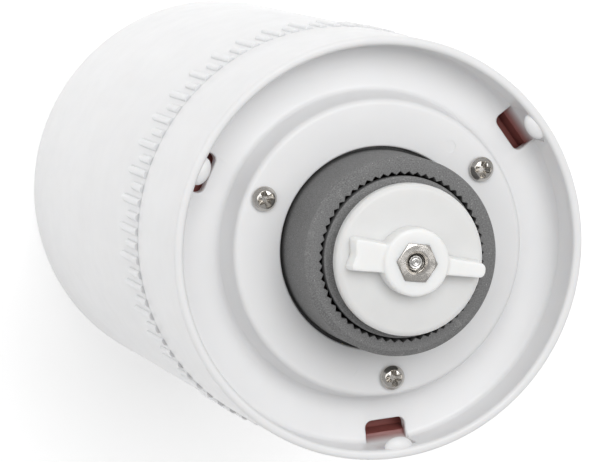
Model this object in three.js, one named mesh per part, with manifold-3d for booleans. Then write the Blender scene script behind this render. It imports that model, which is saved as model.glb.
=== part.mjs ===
// Pepper mill with its ceramic grinder on top. The jar stands on a flat base, and the head turns on it.
// Millimetres, +Z up. The origin is the centre of the base, and the grinder's axis is +Z.
import * as THREE from "three";
import { mergeVertices } from "three/addons/utils/BufferGeometryUtils.js";
import Module from "manifold-3d";

const manifold = await Module();
manifold.setup();

// ---- Driving sizes: the outside of the mill
const bodyRadius = 32.5;
const bodyHeight = 99.5; // from the surface it stands on to the rim of the head
const headHeight = 22.9; // from the seam to the rim
const edgeChamfer = 0.45;

// ---- Driving sizes: the jar and its liner
const jarWall = 2.2;
const jarFloor = 2.4;
const linerWall = 1.6;
const linerSetback = 6.6; // the liner's mouth lies this far under the seam
const footProud = 0.5;
const footHeight = 1.5;
const footInset = 3.5;
const footWidth = 4.4;

// ---- Driving sizes: the grip ribs round the jar's mouth
const ribCount = 90;
const ribProud = 0.45;
const ribWidth = 1.3;
const longRib = 11.4;
const shortRib = 7.4;
const ribPoint = 1.4; // length of each rib's pointed end
const ribTopGap = 0.15; // the ribs end this far under the jar's mouth

// ---- Driving sizes: the head's shell
const rimWall = 1.5;
const channelWidth = 7.2;
const channelDepth = 7.2;
const channelFloor = 1.8;
const plateauDrop = 1.3; // the raised centre lies this far under the rim
const plateauDraft = 1.0;
const plateauWall = 1.1;
const plateauPlate = 2.0;
const windowCount = 3;
const windowAngle = -22.3; // degrees, of the first window and of the first screw
const windowWidth = 6.4;
const windowReach = 3.5; // from the rim's wall towards the axis
const slotDepth = 0.45; // the slot that each window runs up in the rim's wall
const slotRise = 5.2;
const rampReach = 1.3; // the ramp under a slot leads this far inwards from the rim's wall
const rampRise = 2.4;
const rampSag = 0.5; // how hollow the ramp is
const catchSize = [1.5, 2.2, 0.9]; // half sizes of the cap's catch: radial, along the rim, vertical
const catchRise = 6.0;
const catchInset = 0.15; // from the rim's wall to the catch's centre
const ledgeReach = 0.6; // the lip inside the skirt that carries the retaining ring
const ledgeRise = 2.05;
const ledgeHeight = 1.4;

// ---- Driving sizes: the burrs
const statorRadius = 15.06;
const statorProud = 10.1; // the stator's face above the rim
const statorHeight = 18.6;
const statorChamfer = [0.85, 0.7]; // radial, vertical
const statorToothCount = 60;
const statorWall = 2.66; // from the outside to the tips of the teeth at the face
const statorToothDepth = 0.5;
const statorMouthFlare = 0.9; // how much wider the bore is at its lower end
const statorFineLength = 6.6;
const statorFlangeReach = 1.9;
const statorFlangeHeight = 2.4;
const rotorRise = 0.25; // the rotor's face above the stator's
const rotorLand = 1.6;
const rotorHeight = 13.4;
const rotorBoss = 1.5; // the raised centre of the rotor that the knob rests on
const rotorBossInset = 1.6;
const rotorWall = 1.2; // round the core at the rotor's lower end
const rotorToothCount = 20;
const rotorToothDepth = 0.8;
const burrGap = 0.2;

// ---- Driving sizes: the adjusting knob, its nut and the shaft
const knobInset = 0.75; // the knob's disc is this much smaller than the rotor
const knobDisc = 2.2;
const knobHubRadius = 5.2;
const knobHubRise = 3.2;
const knobAngle = 173; // degrees, the way the pointer points
const wingDrop = 0.5;
const pointerRoot = 3.5;
const pointerTip = 2.5;
const pointerInset = 0.25;
const tailRoot = 4.1;
const tailTip = 5.2;
const tailInset = 1.4;
const tailHollow = 0.5;
const nutAcrossFlats = 5.5;
const nutHeight = 2.4;
const nutProud = 0.25;
const nutTwist = -4; // degrees
const threadRadius = 1.4;
const threadSetback = 0.9; // the shaft's tip lies this far under the nut's face
const shaftSquare = 4.5;
const shaftShoulder = 2.4; // the square ends this far under the rotor's face

// ---- Driving sizes: the drive spider, the housing under the plateau and what they carry
const spiderWall = 2.0;
const spiderFlange = 2.0;
const plugLength = 12.0;
const drumWall = 1.8;
const drumShelf = 1.6;
const drumShelfReach = 5.1;
const lipReach = 0.8;
const lipHeight = 1.5;
const retainerHeight = 2.2;
const retainerWidth = 1.35;
const slipRingHeight = 1.4;
const slipRingWidth = 2.0;
const armCount = 3;
const armWidth = 3.2;
const armHeight = 4.6;
const hubWall = 2.4;
const spiderHubHeight = 10.0;
const keyWidth = 4.0;
const keyProud = 0.9;
const keyLength = 7.0;
const sealRadius = 0.5;
const sealRise = 1.9;
const clipHeight = 1.1;
const clipReach = 2.1;
const shaftTail = 1.6;
const housingSkirt = 6.8; // the housing reaches this far under the stator's seat
const bearingHeight = 3.5;
const bearingArm = 2.5;
const bushWall = 0.85;
const bushFlange = 1.0;
const bushFlangeReach = 1.4;
const springWire = 0.45;
const springTurns = 5;
const springPocket = 5.0;
const coreWall = 2.4;

// ---- Driving sizes: the screws
const screwInset = 2.8; // from the plateau's edge to the screws' circle
const screwHeadRadius = 1.9;
const screwHeadHeight = 1.35;
const screwCore = 0.7;
const screwLength = 8.0;
const screwRecess = [0.55, 2.3, 0.9]; // width, length and depth of the cross

// ---- Clearances
const fitGap = 0.3; // beside a piece that is pushed or turned in another
const seatGap = 0.25; // under a piece that rests on another
const threadGap = 0.1;
const nutGap = 0.08;
const squareGap = 0.15;
const screwGap = 0.3;

// ---- Facets
const bodySegments = ribCount / 2;
const ringSegments = 40;
const smallSegments = 20;
const tinySegments = 12;
const overlap = 0.6; // how deep joined shapes run into each other

// ---- Heights worked out from the driving sizes
const seamHeight = bodyHeight - headHeight;
const jarTop = seamHeight - seatGap / 2;
const headBottom = seamHeight + seatGap / 2;
const jarBase = footProud;
const jarFloorTop = jarBase + jarFloor;
const linerBase = jarFloorTop + seatGap;
const linerTop = seamHeight - linerSetback;
const channelTop = bodyHeight - channelDepth;
const channelUnder = channelTop - channelFloor;
const plateauTop = bodyHeight - plateauDrop;
const plateauUnder = plateauTop - plateauPlate;
const slipRingTop = channelUnder - seatGap;
const drumTop = slipRingTop - slipRingHeight - seatGap;
const spiderSeat = linerTop + seatGap;
const plugBottom = spiderSeat - plugLength;
const ledgeBottom = headBottom + ledgeRise;
const retainerBottom = ledgeBottom + ledgeHeight + seatGap;
const lipBottom = retainerBottom + retainerHeight + seatGap;
const statorFace = bodyHeight + statorProud;
const statorBottom = statorFace - statorHeight;
const statorFlangeTop = plateauUnder - seatGap;
const statorFlangeBottom = statorFlangeTop - statorFlangeHeight;
const housingTop = plateauUnder - seatGap;
const housingSeat = statorFlangeBottom - seatGap;
const housingBottom = housingSeat - housingSkirt;
const bearingTop = housingBottom + bearingHeight;
const bushTop = bearingTop + seatGap + bushFlange;
const rotorFace = statorFace + rotorRise;
const rotorBottom = rotorFace - rotorHeight;
const springBottom = bushTop + seatGap;
const springTop = rotorBottom + springPocket - seatGap;
const discBottom = rotorFace + rotorBoss + seatGap;
const discTop = discBottom + knobDisc;
const hubTop = discTop + knobHubRise;
const nutTop = hubTop + nutProud;
const nutBottom = nutTop - nutHeight;
const shaftTip = nutTop - threadSetback;
const shoulderHeight = rotorFace - shaftShoulder;
const clipTop = plugBottom - seatGap;
const shaftBottom = clipTop - clipHeight - shaftTail;

// ---- Radii worked out from the driving sizes
const jarInside = bodyRadius - jarWall;
const linerOutside = jarInside - fitGap;
const linerInside = linerOutside - linerWall;
const plugRadius = linerInside - fitGap;
const footOutside = bodyRadius - footInset;
const footInside = footOutside - footWidth;
const headInside = bodyRadius - rimWall;
const plateauFoot = headInside - channelWidth;
const plateauEdge = plateauFoot - plateauDraft;
const plateauInside = plateauEdge - plateauWall;
const skirtInside = plateauFoot - plateauWall;
const retainerOutside = headInside - seatGap;
const retainerInside = retainerOutside - retainerWidth;
const drumRadius = retainerInside - fitGap;
const lipRadius = drumRadius + lipReach;
const drumRimRadius = headInside - ledgeReach - seatGap;
const shelfInside = drumRadius - drumShelfReach;
const slipRingInside = shelfInside + fitGap;
const holeRadius = statorRadius + fitGap + seatGap;
const statorFlangeRadius = statorRadius + statorFlangeReach;
const housingRadius = plateauInside - fitGap;
const housingBore = statorRadius + fitGap;
const housingRecess = statorFlangeRadius + fitGap;
const statorBore = statorRadius - statorWall;
const rotorRadius = statorBore - burrGap;
const knobRadius = rotorRadius - knobInset;
const screwCircle = plateauEdge - screwInset;
const shaftCorner = shaftSquare / Math.SQRT2;
const socketSquare = shaftSquare + 2 * squareGap;
const socketCorner = socketSquare / Math.SQRT2;
const bushRadius = socketCorner + bushWall;
const bearingBore = bushRadius + fitGap;
const bearingRadius = bearingBore + hubWall;
const bushFlangeRadius = bushRadius + bushFlangeReach;
const spiderHubRadius = socketCorner + hubWall;
const springRadius = shaftCorner + fitGap + springWire;
const pocketRadius = springRadius + springWire + fitGap;
const coreRadius = pocketRadius + coreWall;
const rotorBore = coreRadius + fitGap;
const rotorLowerRadius = rotorBore + rotorWall + rotorToothDepth;
const nutRadius = nutAcrossFlats / Math.sqrt(3);

// ---- Finishes
const finish = (color, roughness, metalness = 0) => ({ color, roughness, metalness });
const finishes = {
  shell: finish(0xf4f4f3, 0.32),
  knob: finish(0xeeeeec, 0.4),
  liner: finish(0x733e3c, 0.45),
  ceramic: finish(0x4d4d4d, 0.75),
  housing: finish(0xd9d9d6, 0.5),
  bearing: finish(0xe6e2d6, 0.4),
  rubber: finish(0x2a2a2a, 0.85),
  steel: finish(0xc9c6c2, 0.25, 1),
};

// ---- Turning geometries into solids and back
const radians = THREE.MathUtils.degToRad;

function solidOf(geometry) {
  const bare = geometry.index ? geometry.toNonIndexed() : geometry.clone();
  bare.deleteAttribute("normal");
  bare.deleteAttribute("uv");
  const merged = mergeVertices(bare, 1e-4);
  const mesh = new manifold.Mesh({
    numProp: 3,
    vertProperties: merged.attributes.position.array,
    triVerts: new Uint32Array(merged.index.array),
  });
  return new manifold.Manifold(mesh);
}

function geometryOf(solid) {
  const mesh = solid.getMesh();
  const geometry = new THREE.BufferGeometry();
  geometry.setAttribute("position", new THREE.BufferAttribute(mesh.vertProperties, 3));
  geometry.setIndex(new THREE.BufferAttribute(mesh.triVerts, 1));
  const faceted = geometry.toNonIndexed();
  faceted.computeVertexNormals();
  return faceted;
}

// ---- Basic shapes. Each is a solid, upright on the mill's axis unless it is moved.

// A profile of [radius, height] points turned about +Z. Its outer side runs upwards.
function turned(profile, segments) {
  const points = profile.map(([radius, height]) => new THREE.Vector2(radius, height));
  const onAxis = profile[0][0] === 0;
  if (!onAxis) points.push(points[0].clone());
  const geometry = new THREE.LatheGeometry(points, segments);
  geometry.rotateX(Math.PI / 2);
  return solidOf(geometry);
}

// A plug with straight teeth. Its profile of [radius, height] points runs upwards, and a tooth's crest
// stands `depth` outside it.
function toothedCone(profile, toothCount, depth) {
  const columns = 2 * toothCount;
  const positions = [];
  const faces = [];
  for (const [radius, height] of profile) {
    for (let side = 0; side < columns; side += 1) {
      const angle = (2 * Math.PI * side) / columns;
      const reach = radius + (side % 2) * depth;
      positions.push(reach * Math.cos(angle), reach * Math.sin(angle), height);
    }
  }
  const foot = positions.length / 3;
  positions.push(0, 0, profile[0][1], 0, 0, profile.at(-1)[1]);
  const crown = foot + 1;
  const lastRing = (profile.length - 1) * columns;
  for (let side = 0; side < columns; side += 1) {
    const beside = (side + 1) % columns;
    faces.push(foot, beside, side, crown, lastRing + side, lastRing + beside);
    for (let base = 0; base < lastRing; base += columns) {
      faces.push(base + side, base + beside, base + columns + beside);
      faces.push(base + side, base + columns + beside, base + columns + side);
    }
  }
  const geometry = new THREE.BufferGeometry();
  geometry.setAttribute("position", new THREE.Float32BufferAttribute(positions, 3));
  geometry.setIndex(faces);
  return solidOf(geometry);
}

function block(size, centre, angle = 0) {
  const geometry = new THREE.BoxGeometry(...size);
  geometry.translate(...centre);
  geometry.rotateZ(radians(angle));
  return solidOf(geometry);
}

// A prism of `sides` sides, or a plain cylinder when there are many, between two heights.
function column(radius, bottom, top, sides = smallSegments, centre = [0, 0], twist = 0) {
  const geometry = new THREE.CylinderGeometry(radius, radius, top - bottom, sides);
  geometry.rotateX(Math.PI / 2);
  geometry.rotateZ(radians(twist));
  geometry.translate(centre[0], centre[1], (top + bottom) / 2);
  return solidOf(geometry);
}

function squareBar(width, bottom, top) {
  return block([width, width, top - bottom], [0, 0, (bottom + top) / 2]);
}

// A flat ring of rectangular section.
function ring(inside, outside, bottom, top, segments = ringSegments) {
  const profile = [
    [inside, bottom],
    [outside, bottom],
    [outside, top],
    [inside, top],
  ];
  return turned(profile, segments);
}

function onCircle(radius, angle) {
  return [radius * Math.cos(radians(angle)), radius * Math.sin(radians(angle))];
}

const evenAngles = (count, first = 0) =>
  Array.from({ length: count }, (_, index) => first + (index * 360) / count);

const windowAngles = evenAngles(windowCount, windowAngle);
const armAngles = evenAngles(armCount, windowAngle);

// Straight arms that join a hub to a ring round it.
function addArms(solid, inside, outside, bottom, height) {
  return armAngles.reduce((sum, angle) => {
    const length = outside - inside;
    const centre = [(inside + outside) / 2, 0, bottom + height / 2];
    return sum.add(block([length, armWidth, height], centre, angle));
  }, solid);
}

// ---- The jar
function ribShape(length) {
  const outline = new THREE.Shape();
  outline.moveTo(-ribWidth / 2, 0);
  outline.lineTo(-ribWidth / 2, ribPoint - length);
  outline.lineTo(0, -length);
  outline.lineTo(ribWidth / 2, ribPoint - length);
  outline.lineTo(ribWidth / 2, 0);
  const depth = ribProud + overlap;
  const geometry = new THREE.ExtrudeGeometry(outline, { depth, bevelEnabled: false });
  geometry.rotateX(Math.PI / 2);
  geometry.rotateZ(Math.PI / 2);
  geometry.translate(bodyRadius - overlap, 0, jarTop - ribTopGap);
  return geometry;
}

function jarShell() {
  const grooveTop = footHeight + seatGap;
  const profile = [
    [0, jarBase],
    [footInside - fitGap, jarBase],
    [footInside - fitGap, grooveTop],
    [footOutside + fitGap, grooveTop],
    [footOutside + fitGap, jarBase],
    [bodyRadius - edgeChamfer, jarBase],
    [bodyRadius, jarBase + edgeChamfer],
    [bodyRadius, jarTop],
    [jarInside, jarTop],
    [jarInside, jarFloorTop],
    [0, jarFloorTop],
  ];
  const ribs = evenAngles(ribCount).map((angle, index) => {
    const rib = ribShape(index % 2 ? shortRib : longRib);
    rib.rotateZ(radians(angle));
    return solidOf(rib);
  });
  return ribs.reduce((sum, rib) => sum.add(rib), turned(profile, bodySegments));
}

function footRing() {
  return ring(footInside, footOutside, 0, footHeight);
}

function jarLiner() {
  const profile = [
    [0, linerBase],
    [linerOutside, linerBase],
    [linerOutside, linerTop],
    [linerInside, linerTop],
    [linerInside, linerBase + linerWall],
    [0, linerBase + linerWall],
  ];
  const slotHeight = keyLength + 2 * fitGap;
  const reach = keyProud + fitGap + overlap;
  const size = [reach, keyWidth + 2 * fitGap, slotHeight + overlap];
  const centre = [plugRadius - overlap + reach / 2, 0, linerTop - slotHeight / 2 + overlap / 2];
  return armAngles.reduce(
    (sum, angle) => sum.subtract(block(size, centre, angle)),
    turned(profile, ringSegments),
  );
}

// ---- The drive spider, which plugs into the jar and carries the shaft
function driveSpider() {
  const plugInside = plugRadius - spiderWall;
  const drumInside = drumRadius - drumWall;
  const sealHeight = plugBottom + sealRise;
  const sealDepth = plugRadius - 2 * sealRadius;
  const flangeTop = spiderSeat + spiderFlange;
  const profile = [
    [plugInside, plugBottom],
    [plugRadius, plugBottom],
    [plugRadius, sealHeight - sealRadius - fitGap],
    [sealDepth, sealHeight - sealRadius - fitGap],
    [sealDepth, sealHeight + sealRadius + fitGap],
    [plugRadius, sealHeight + sealRadius + fitGap],
    [plugRadius, spiderSeat],
    [linerOutside, spiderSeat],
    [linerOutside, flangeTop],
    [drumRadius, flangeTop],
    [drumRadius, lipBottom],
    [lipRadius, lipBottom],
    [lipRadius, lipBottom + lipHeight],
    [drumRadius, lipBottom + lipHeight],
    [drumRadius, drumTop - drumShelf],
    [drumRimRadius, drumTop - drumShelf],
    [drumRimRadius, drumTop],
    [shelfInside, drumTop],
    [shelfInside, drumTop - drumShelf],
    [drumInside, drumTop - drumShelf],
    [drumInside, spiderSeat],
    [plugInside, spiderSeat],
  ];
  const keyTop = spiderSeat - seatGap;
  const keySize = [keyProud + overlap, keyWidth, keyLength];
  const keyCentre = [plugRadius + (keyProud - overlap) / 2, 0, keyTop - keyLength / 2];
  const keyed = armAngles.reduce(
    (sum, angle) => sum.add(block(keySize, keyCentre, angle)),
    turned(profile, ringSegments),
  );
  const hub = column(spiderHubRadius, plugBottom, plugBottom + spiderHubHeight);
  const armOutside = plugInside + overlap;
  const joined = addArms(keyed.add(hub), socketCorner, armOutside, plugBottom, armHeight);
  return joined.subtract(squareBar(socketSquare, plugBottom - overlap, drumTop));
}

function sealRing() {
  const geometry = new THREE.TorusGeometry(
    plugRadius - sealRadius + seatGap / 2,
    sealRadius,
    6,
    ringSegments,
  );
  geometry.translate(0, 0, plugBottom + sealRise);
  return solidOf(geometry);
}

function driveShaft() {
  const bar = squareBar(shaftSquare, shaftBottom, shoulderHeight);
  const tipChamfer = threadRadius * 0.32;
  const thread = turned(
    [
      [0, shoulderHeight - overlap],
      [threadRadius, shoulderHeight - overlap],
      [threadRadius, shaftTip - tipChamfer],
      [threadRadius - tipChamfer, shaftTip],
      [0, shaftTip],
    ],
    smallSegments,
  );
  return bar.add(thread);
}

function shaftClip() {
  const disc = column(socketCorner + clipReach, clipTop - clipHeight, clipTop);
  return disc.subtract(squareBar(socketSquare, clipTop - clipHeight - overlap, clipTop + overlap));
}

function shaftBush() {
  const body = column(bushRadius, housingBottom, bushTop);
  const flange = column(bushFlangeRadius, bushTop - bushFlange, bushTop);
  return body.add(flange).subtract(squareBar(socketSquare, housingBottom - overlap, bushTop + overlap));
}

// ---- The head
function headShell() {
  const profile = [
    [headInside, headBottom],
    [bodyRadius, headBottom],
    [bodyRadius, bodyHeight - edgeChamfer],
    [bodyRadius - edgeChamfer, bodyHeight],
    [headInside + edgeChamfer, bodyHeight],
    [headInside, bodyHeight - edgeChamfer],
    [headInside, channelTop],
    [plateauFoot, channelTop],
    [plateauEdge, plateauTop - edgeChamfer],
    [plateauEdge - edgeChamfer, plateauTop],
    [holeRadius, plateauTop],
    [holeRadius, plateauUnder],
    [plateauInside, plateauUnder],
    [skirtInside, channelUnder],
    [headInside, channelUnder],
    [headInside, ledgeBottom + ledgeHeight],
    [headInside - ledgeReach, ledgeBottom + ledgeHeight],
    [headInside - ledgeReach, ledgeBottom],
  ];
  let shell = turned(profile, ringSegments);
  const windowSize = [windowReach + slotDepth, windowWidth, channelFloor + 2 * overlap];
  const windowOutside = headInside + slotDepth;
  const windowCentre = [windowOutside - windowSize[0] / 2, 0, channelTop - channelFloor / 2];
  const slotHeight = slotRise + channelFloor + overlap;
  const slotSize = [2 * slotDepth, windowWidth, slotHeight];
  const slotCentre = [headInside, 0, channelTop + slotRise - slotHeight / 2];
  for (const angle of windowAngles) {
    const screwHole = onCircle(screwCircle, angle);
    shell = shell
      .subtract(block(windowSize, windowCentre, angle))
      .subtract(block(slotSize, slotCentre, angle))
      .add(slotRamp(angle))
      .add(capCatch(angle))
      .subtract(column(screwCore + screwGap, housingTop, bodyHeight, tinySegments, screwHole));
  }
  return shell;
}

// The hollow ramp that leads from a window's slot inwards to the drum's rim.
function slotRamp(angle) {
  const slotWall = headInside + slotDepth;
  const rampTop = channelTop + rampRise;
  const rampTip = headInside - rampReach;
  const outline = new THREE.Shape();
  outline.moveTo(rampTip, channelUnder);
  outline.lineTo(slotWall + rampSag, channelUnder);
  outline.lineTo(slotWall + rampSag, rampTop);
  outline.lineTo(slotWall, rampTop);
  outline.lineTo(slotWall - rampSag, channelTop);
  outline.lineTo(rampTip, channelUnder + rampSag);
  const depth = windowWidth + seatGap;
  const geometry = new THREE.ExtrudeGeometry(outline, { depth, bevelEnabled: false });
  geometry.translate(0, 0, -depth / 2);
  geometry.rotateX(Math.PI / 2);
  geometry.rotateZ(radians(angle));
  return solidOf(geometry);
}

// The rounded catch in a window's slot that a closing cap snaps over.
function capCatch(angle) {
  const geometry = new THREE.SphereGeometry(1, 12, 6);
  geometry.rotateX(Math.PI / 2);
  geometry.scale(catchSize[0], catchSize[1], catchSize[2]);
  geometry.translate(headInside - catchInset, 0, channelTop + catchRise);
  geometry.rotateZ(radians(angle));
  return solidOf(geometry);
}

function burrHousing() {
  const profile = [
    [housingBore, housingBottom],
    [housingRadius, housingBottom],
    [housingRadius, housingTop],
    [housingRecess, housingTop],
    [housingRecess, housingSeat],
    [housingBore, housingSeat],
  ];
  const hub = column(bearingRadius, housingBottom, bearingTop);
  const armOutside = housingBore + overlap;
  const body = addArms(turned(profile, ringSegments).add(hub), bearingBore, armOutside, housingBottom, bearingArm);
  const bored = body.subtract(column(bearingBore, housingBottom - overlap, bearingTop + overlap));
  return windowAngles.reduce((sum, angle) => {
    const bottom = plateauTop - screwLength - fitGap;
    const centre = onCircle(screwCircle, angle);
    return sum.subtract(column(screwCore + screwGap, bottom, housingTop + overlap, tinySegments, centre));
  }, bored);
}

function screw(angle) {
  const underHead = plateauTop + seatGap / 2;
  const headTop = underHead + screwHeadHeight;
  const profile = [
    [0, plateauTop - screwLength],
    [screwCore / 2, plateauTop - screwLength],
    [screwCore, plateauTop - screwLength + screwCore],
    [screwCore, underHead],
    [screwHeadRadius, underHead],
    [screwHeadRadius, headTop - 0.6 * screwHeadHeight],
    [0.75 * screwHeadRadius, headTop - 0.15 * screwHeadHeight],
    [0.35 * screwHeadRadius, headTop],
    [0, headTop],
  ];
  const [width, length, depth] = screwRecess;
  const centre = [0, 0, headTop];
  const body = turned(profile, tinySegments)
    .subtract(block([width, length, 2 * depth], centre))
    .subtract(block([length, width, 2 * depth], centre));
  const geometry = geometryOf(body);
  geometry.rotateZ(radians(angle));
  geometry.translate(...onCircle(screwCircle, angle), 0);
  return solidOf(geometry);
}

function stator() {
  const [chamferIn, chamferDown] = statorChamfer;
  const outside = turned(
    [
      [0, statorBottom],
      [statorRadius, statorBottom],
      [statorRadius, statorFlangeBottom],
      [statorFlangeRadius, statorFlangeBottom],
      [statorFlangeRadius, statorFlangeTop],
      [statorRadius, statorFlangeTop],
      [statorRadius, statorFace - chamferDown],
      [statorRadius - chamferIn, statorFace],
      [0, statorFace],
    ],
    ringSegments,
  );
  const fineBottom = statorFace - statorFineLength;
  const bore = toothedCone(
    [
      [statorBore + statorMouthFlare, statorBottom - overlap],
      [statorBore, fineBottom],
      [statorBore, statorFace + overlap],
    ],
    statorToothCount,
    statorToothDepth,
  );
  return outside.subtract(bore);
}

function slipRing() {
  return ring(slipRingInside, slipRingInside + slipRingWidth, slipRingTop - slipRingHeight, slipRingTop);
}

function retainingRing() {
  return ring(retainerInside, retainerOutside, retainerBottom, retainerBottom + retainerHeight);
}

// ---- The rotor
function rotorBurr() {
  const landBottom = rotorFace - rotorLand;
  const cone = toothedCone(
    [
      [rotorLowerRadius - rotorToothDepth, rotorBottom],
      [rotorRadius - rotorToothDepth, landBottom],
      [rotorRadius - rotorToothDepth, rotorFace - overlap],
    ],
    rotorToothCount,
    rotorToothDepth,
  );
  const land = column(rotorRadius, landBottom, rotorFace, ringSegments);
  const bossTop = rotorFace + rotorBoss;
  const boss = column(rotorRadius - rotorBossInset, landBottom, bossTop, ringSegments);
  const bore = column(rotorBore, rotorBottom - overlap, bossTop + overlap, 6);
  return cone.add(land).add(boss).subtract(bore);
}

function rotorCore() {
  const top = rotorFace - seatGap;
  const bottom = rotorBottom + seatGap;
  const pocketTop = rotorBottom + springPocket;
  return column(coreRadius, bottom, top, 6)
    .subtract(column(pocketRadius, bottom - overlap, pocketTop))
    .subtract(squareBar(socketSquare, bottom - overlap, top + overlap));
}

class Helix extends THREE.Curve {
  constructor(radius, bottom, top, turns) {
    super();
    Object.assign(this, { radius, bottom, top, turns });
  }

  getPoint(t, target = new THREE.Vector3()) {
    const angle = 2 * Math.PI * this.turns * t;
    const height = this.bottom + (this.top - this.bottom) * t;
    return target.set(this.radius * Math.cos(angle), this.radius * Math.sin(angle), height);
  }
}

function spring() {
  const section = new THREE.Shape();
  section.absarc(0, 0, springWire, 0, 2 * Math.PI);
  const path = new Helix(springRadius, springBottom + springWire, springTop - springWire, springTurns);
  const geometry = new THREE.ExtrudeGeometry(section, {
    steps: 10 * springTurns,
    curveSegments: 3,
    extrudePath: path,
  });
  return solidOf(geometry);
}

// ---- The adjusting knob and its nut
function pointerOutline(reach) {
  const outline = new THREE.Shape();
  outline.moveTo(0, -pointerRoot / 2);
  outline.lineTo(knobHubRadius, -pointerRoot / 2);
  outline.lineTo(reach - pointerTip / 2, -pointerTip / 2);
  outline.absarc(reach - pointerTip / 2, 0, pointerTip / 2, -Math.PI / 2, Math.PI / 2);
  outline.lineTo(knobHubRadius, pointerRoot / 2);
  outline.lineTo(0, pointerRoot / 2);
  return outline;
}

function tailOutline(reach) {
  const outline = new THREE.Shape();
  outline.moveTo(0, tailRoot / 2);
  outline.lineTo(-knobHubRadius, tailRoot / 2);
  outline.lineTo(-reach, tailTip / 2);
  outline.quadraticCurveTo(-reach + 2 * tailHollow, 0, -reach, -tailTip / 2);
  outline.lineTo(-knobHubRadius, -tailRoot / 2);
  outline.lineTo(0, -tailRoot / 2);
  return outline;
}

function raised(outline, bottom, top) {
  const settings = { depth: top - bottom, bevelEnabled: false, curveSegments: 6 };
  const geometry = new THREE.ExtrudeGeometry(outline, settings);
  geometry.translate(0, 0, bottom);
  geometry.rotateZ(radians(knobAngle));
  return solidOf(geometry);
}

function adjustingKnob() {
  const wingTop = hubTop - wingDrop;
  const wingBottom = discTop - knobDisc / 2;
  const nutPocket = nutRadius + nutGap;
  return turned(
    [
      [0, discBottom],
      [knobRadius, discBottom],
      [knobRadius, discTop],
      [knobHubRadius, discTop],
      [knobHubRadius, hubTop],
      [0, hubTop],
    ],
    ringSegments,
  )
    .add(raised(pointerOutline(knobRadius - pointerInset), wingBottom, wingTop))
    .add(raised(tailOutline(knobRadius - tailInset), wingBottom, wingTop))
    .subtract(column(nutPocket, nutBottom - seatGap, hubTop + overlap, 6, [0, 0], nutTwist))
    .subtract(column(threadRadius + fitGap, discBottom - overlap, hubTop));
}

function hexNut() {
  return column(nutRadius, nutBottom, nutTop, 6, [0, 0], nutTwist).subtract(
    column(threadRadius + threadGap, nutBottom - overlap, nutTop + overlap),
  );
}

// ---- The assembly
const parts = [
  ["jar_shell", jarShell(), finishes.shell],
  ["foot_ring", footRing(), finishes.rubber],
  ["jar_liner", jarLiner(), finishes.liner],
  ["drive_spider", driveSpider(), finishes.liner],
  ["seal_ring", sealRing(), finishes.rubber],
  ["drive_shaft", driveShaft(), finishes.steel],
  ["shaft_clip", shaftClip(), finishes.steel],
  ["shaft_bush", shaftBush(), finishes.bearing],
  ["head_shell", headShell(), finishes.shell],
  ["burr_housing", burrHousing(), finishes.housing],
  ["stator_burr", stator(), finishes.ceramic],
  ["slip_ring", slipRing(), finishes.bearing],
  ["retaining_ring", retainingRing(), finishes.steel],
  ["rotor_burr", rotorBurr(), finishes.ceramic],
  ["rotor_core", rotorCore(), finishes.housing],
  ["compression_spring", spring(), finishes.steel],
  ["adjusting_knob", adjustingKnob(), finishes.knob],
  ["hex_nut", hexNut(), finishes.steel],
  ...windowAngles.map((angle, index) => [`housing_screw_${index + 1}`, screw(angle), finishes.steel]),
];

const mill = new THREE.Group();
mill.name = "pepper_mill";
for (const [name, solid, look] of parts) {
  const mesh = new THREE.Mesh(geometryOf(solid), new THREE.MeshStandardMaterial(look));
  mesh.name = name;
  mill.add(mesh);
}

export default mill;
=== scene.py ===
"""A pepper mill: a white jar with grip ribs, a turning head and a ceramic grinder on top.

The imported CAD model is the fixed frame, and the pieces here are the finished look that stands
for it. Sizes are in millimetres in the CAD model's frame, whose origin is the centre of the base
and whose +Z is the grinder's axis. Each finished mesh is put into metres.
"""

import logging
import math
from abc import ABC, abstractmethod
from collections.abc import Callable, Iterable, Sequence
from dataclasses import dataclass, field
from enum import Enum
from typing import Any

import bmesh
import bpy
import numpy as np
from mathutils import Matrix, Vector


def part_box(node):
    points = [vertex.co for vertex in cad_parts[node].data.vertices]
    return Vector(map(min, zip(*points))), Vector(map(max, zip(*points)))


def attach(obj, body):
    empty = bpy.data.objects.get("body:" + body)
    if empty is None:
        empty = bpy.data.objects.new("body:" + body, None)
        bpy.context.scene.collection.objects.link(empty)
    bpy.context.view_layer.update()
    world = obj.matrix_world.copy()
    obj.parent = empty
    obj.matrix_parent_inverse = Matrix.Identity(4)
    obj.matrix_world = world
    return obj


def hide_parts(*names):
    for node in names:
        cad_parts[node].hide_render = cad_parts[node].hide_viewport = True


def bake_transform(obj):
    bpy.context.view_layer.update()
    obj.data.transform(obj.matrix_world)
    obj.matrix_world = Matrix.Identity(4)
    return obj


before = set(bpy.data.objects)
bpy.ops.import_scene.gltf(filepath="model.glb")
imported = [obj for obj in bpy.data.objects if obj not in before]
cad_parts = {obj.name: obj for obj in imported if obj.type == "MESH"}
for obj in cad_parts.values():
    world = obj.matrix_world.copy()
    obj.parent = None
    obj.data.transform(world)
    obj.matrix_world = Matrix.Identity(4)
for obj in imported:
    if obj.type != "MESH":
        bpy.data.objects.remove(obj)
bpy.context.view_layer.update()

MM = 0.001
FULL_TURN = 2 * math.pi
CREASE = math.radians(32)
ON_AXIS = 1e-6
WELD = 1e-7  # metres; corners nearer than this are one
WIDE_ROUND = 256  # sides of the widest turned pieces
SMALL_ROUND = 96
HOLE_ROUND = 24
MARK_ROUND = 32
BALL_ROUND = 48
COIL_STEPS = 48  # of each turn of a coil
WIRE_ROUND = 14
HAIR_EDGE = 0.1  # fillets, from the sharpest to the softest
FINE_EDGE = 0.2
PLAIN_EDGE = 0.3
FULL_EDGE = 0.4
EASED_EDGE = 0.5
SOFT_EDGE = 0.8
TOOTH_SHARE = "tooth_share"
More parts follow.
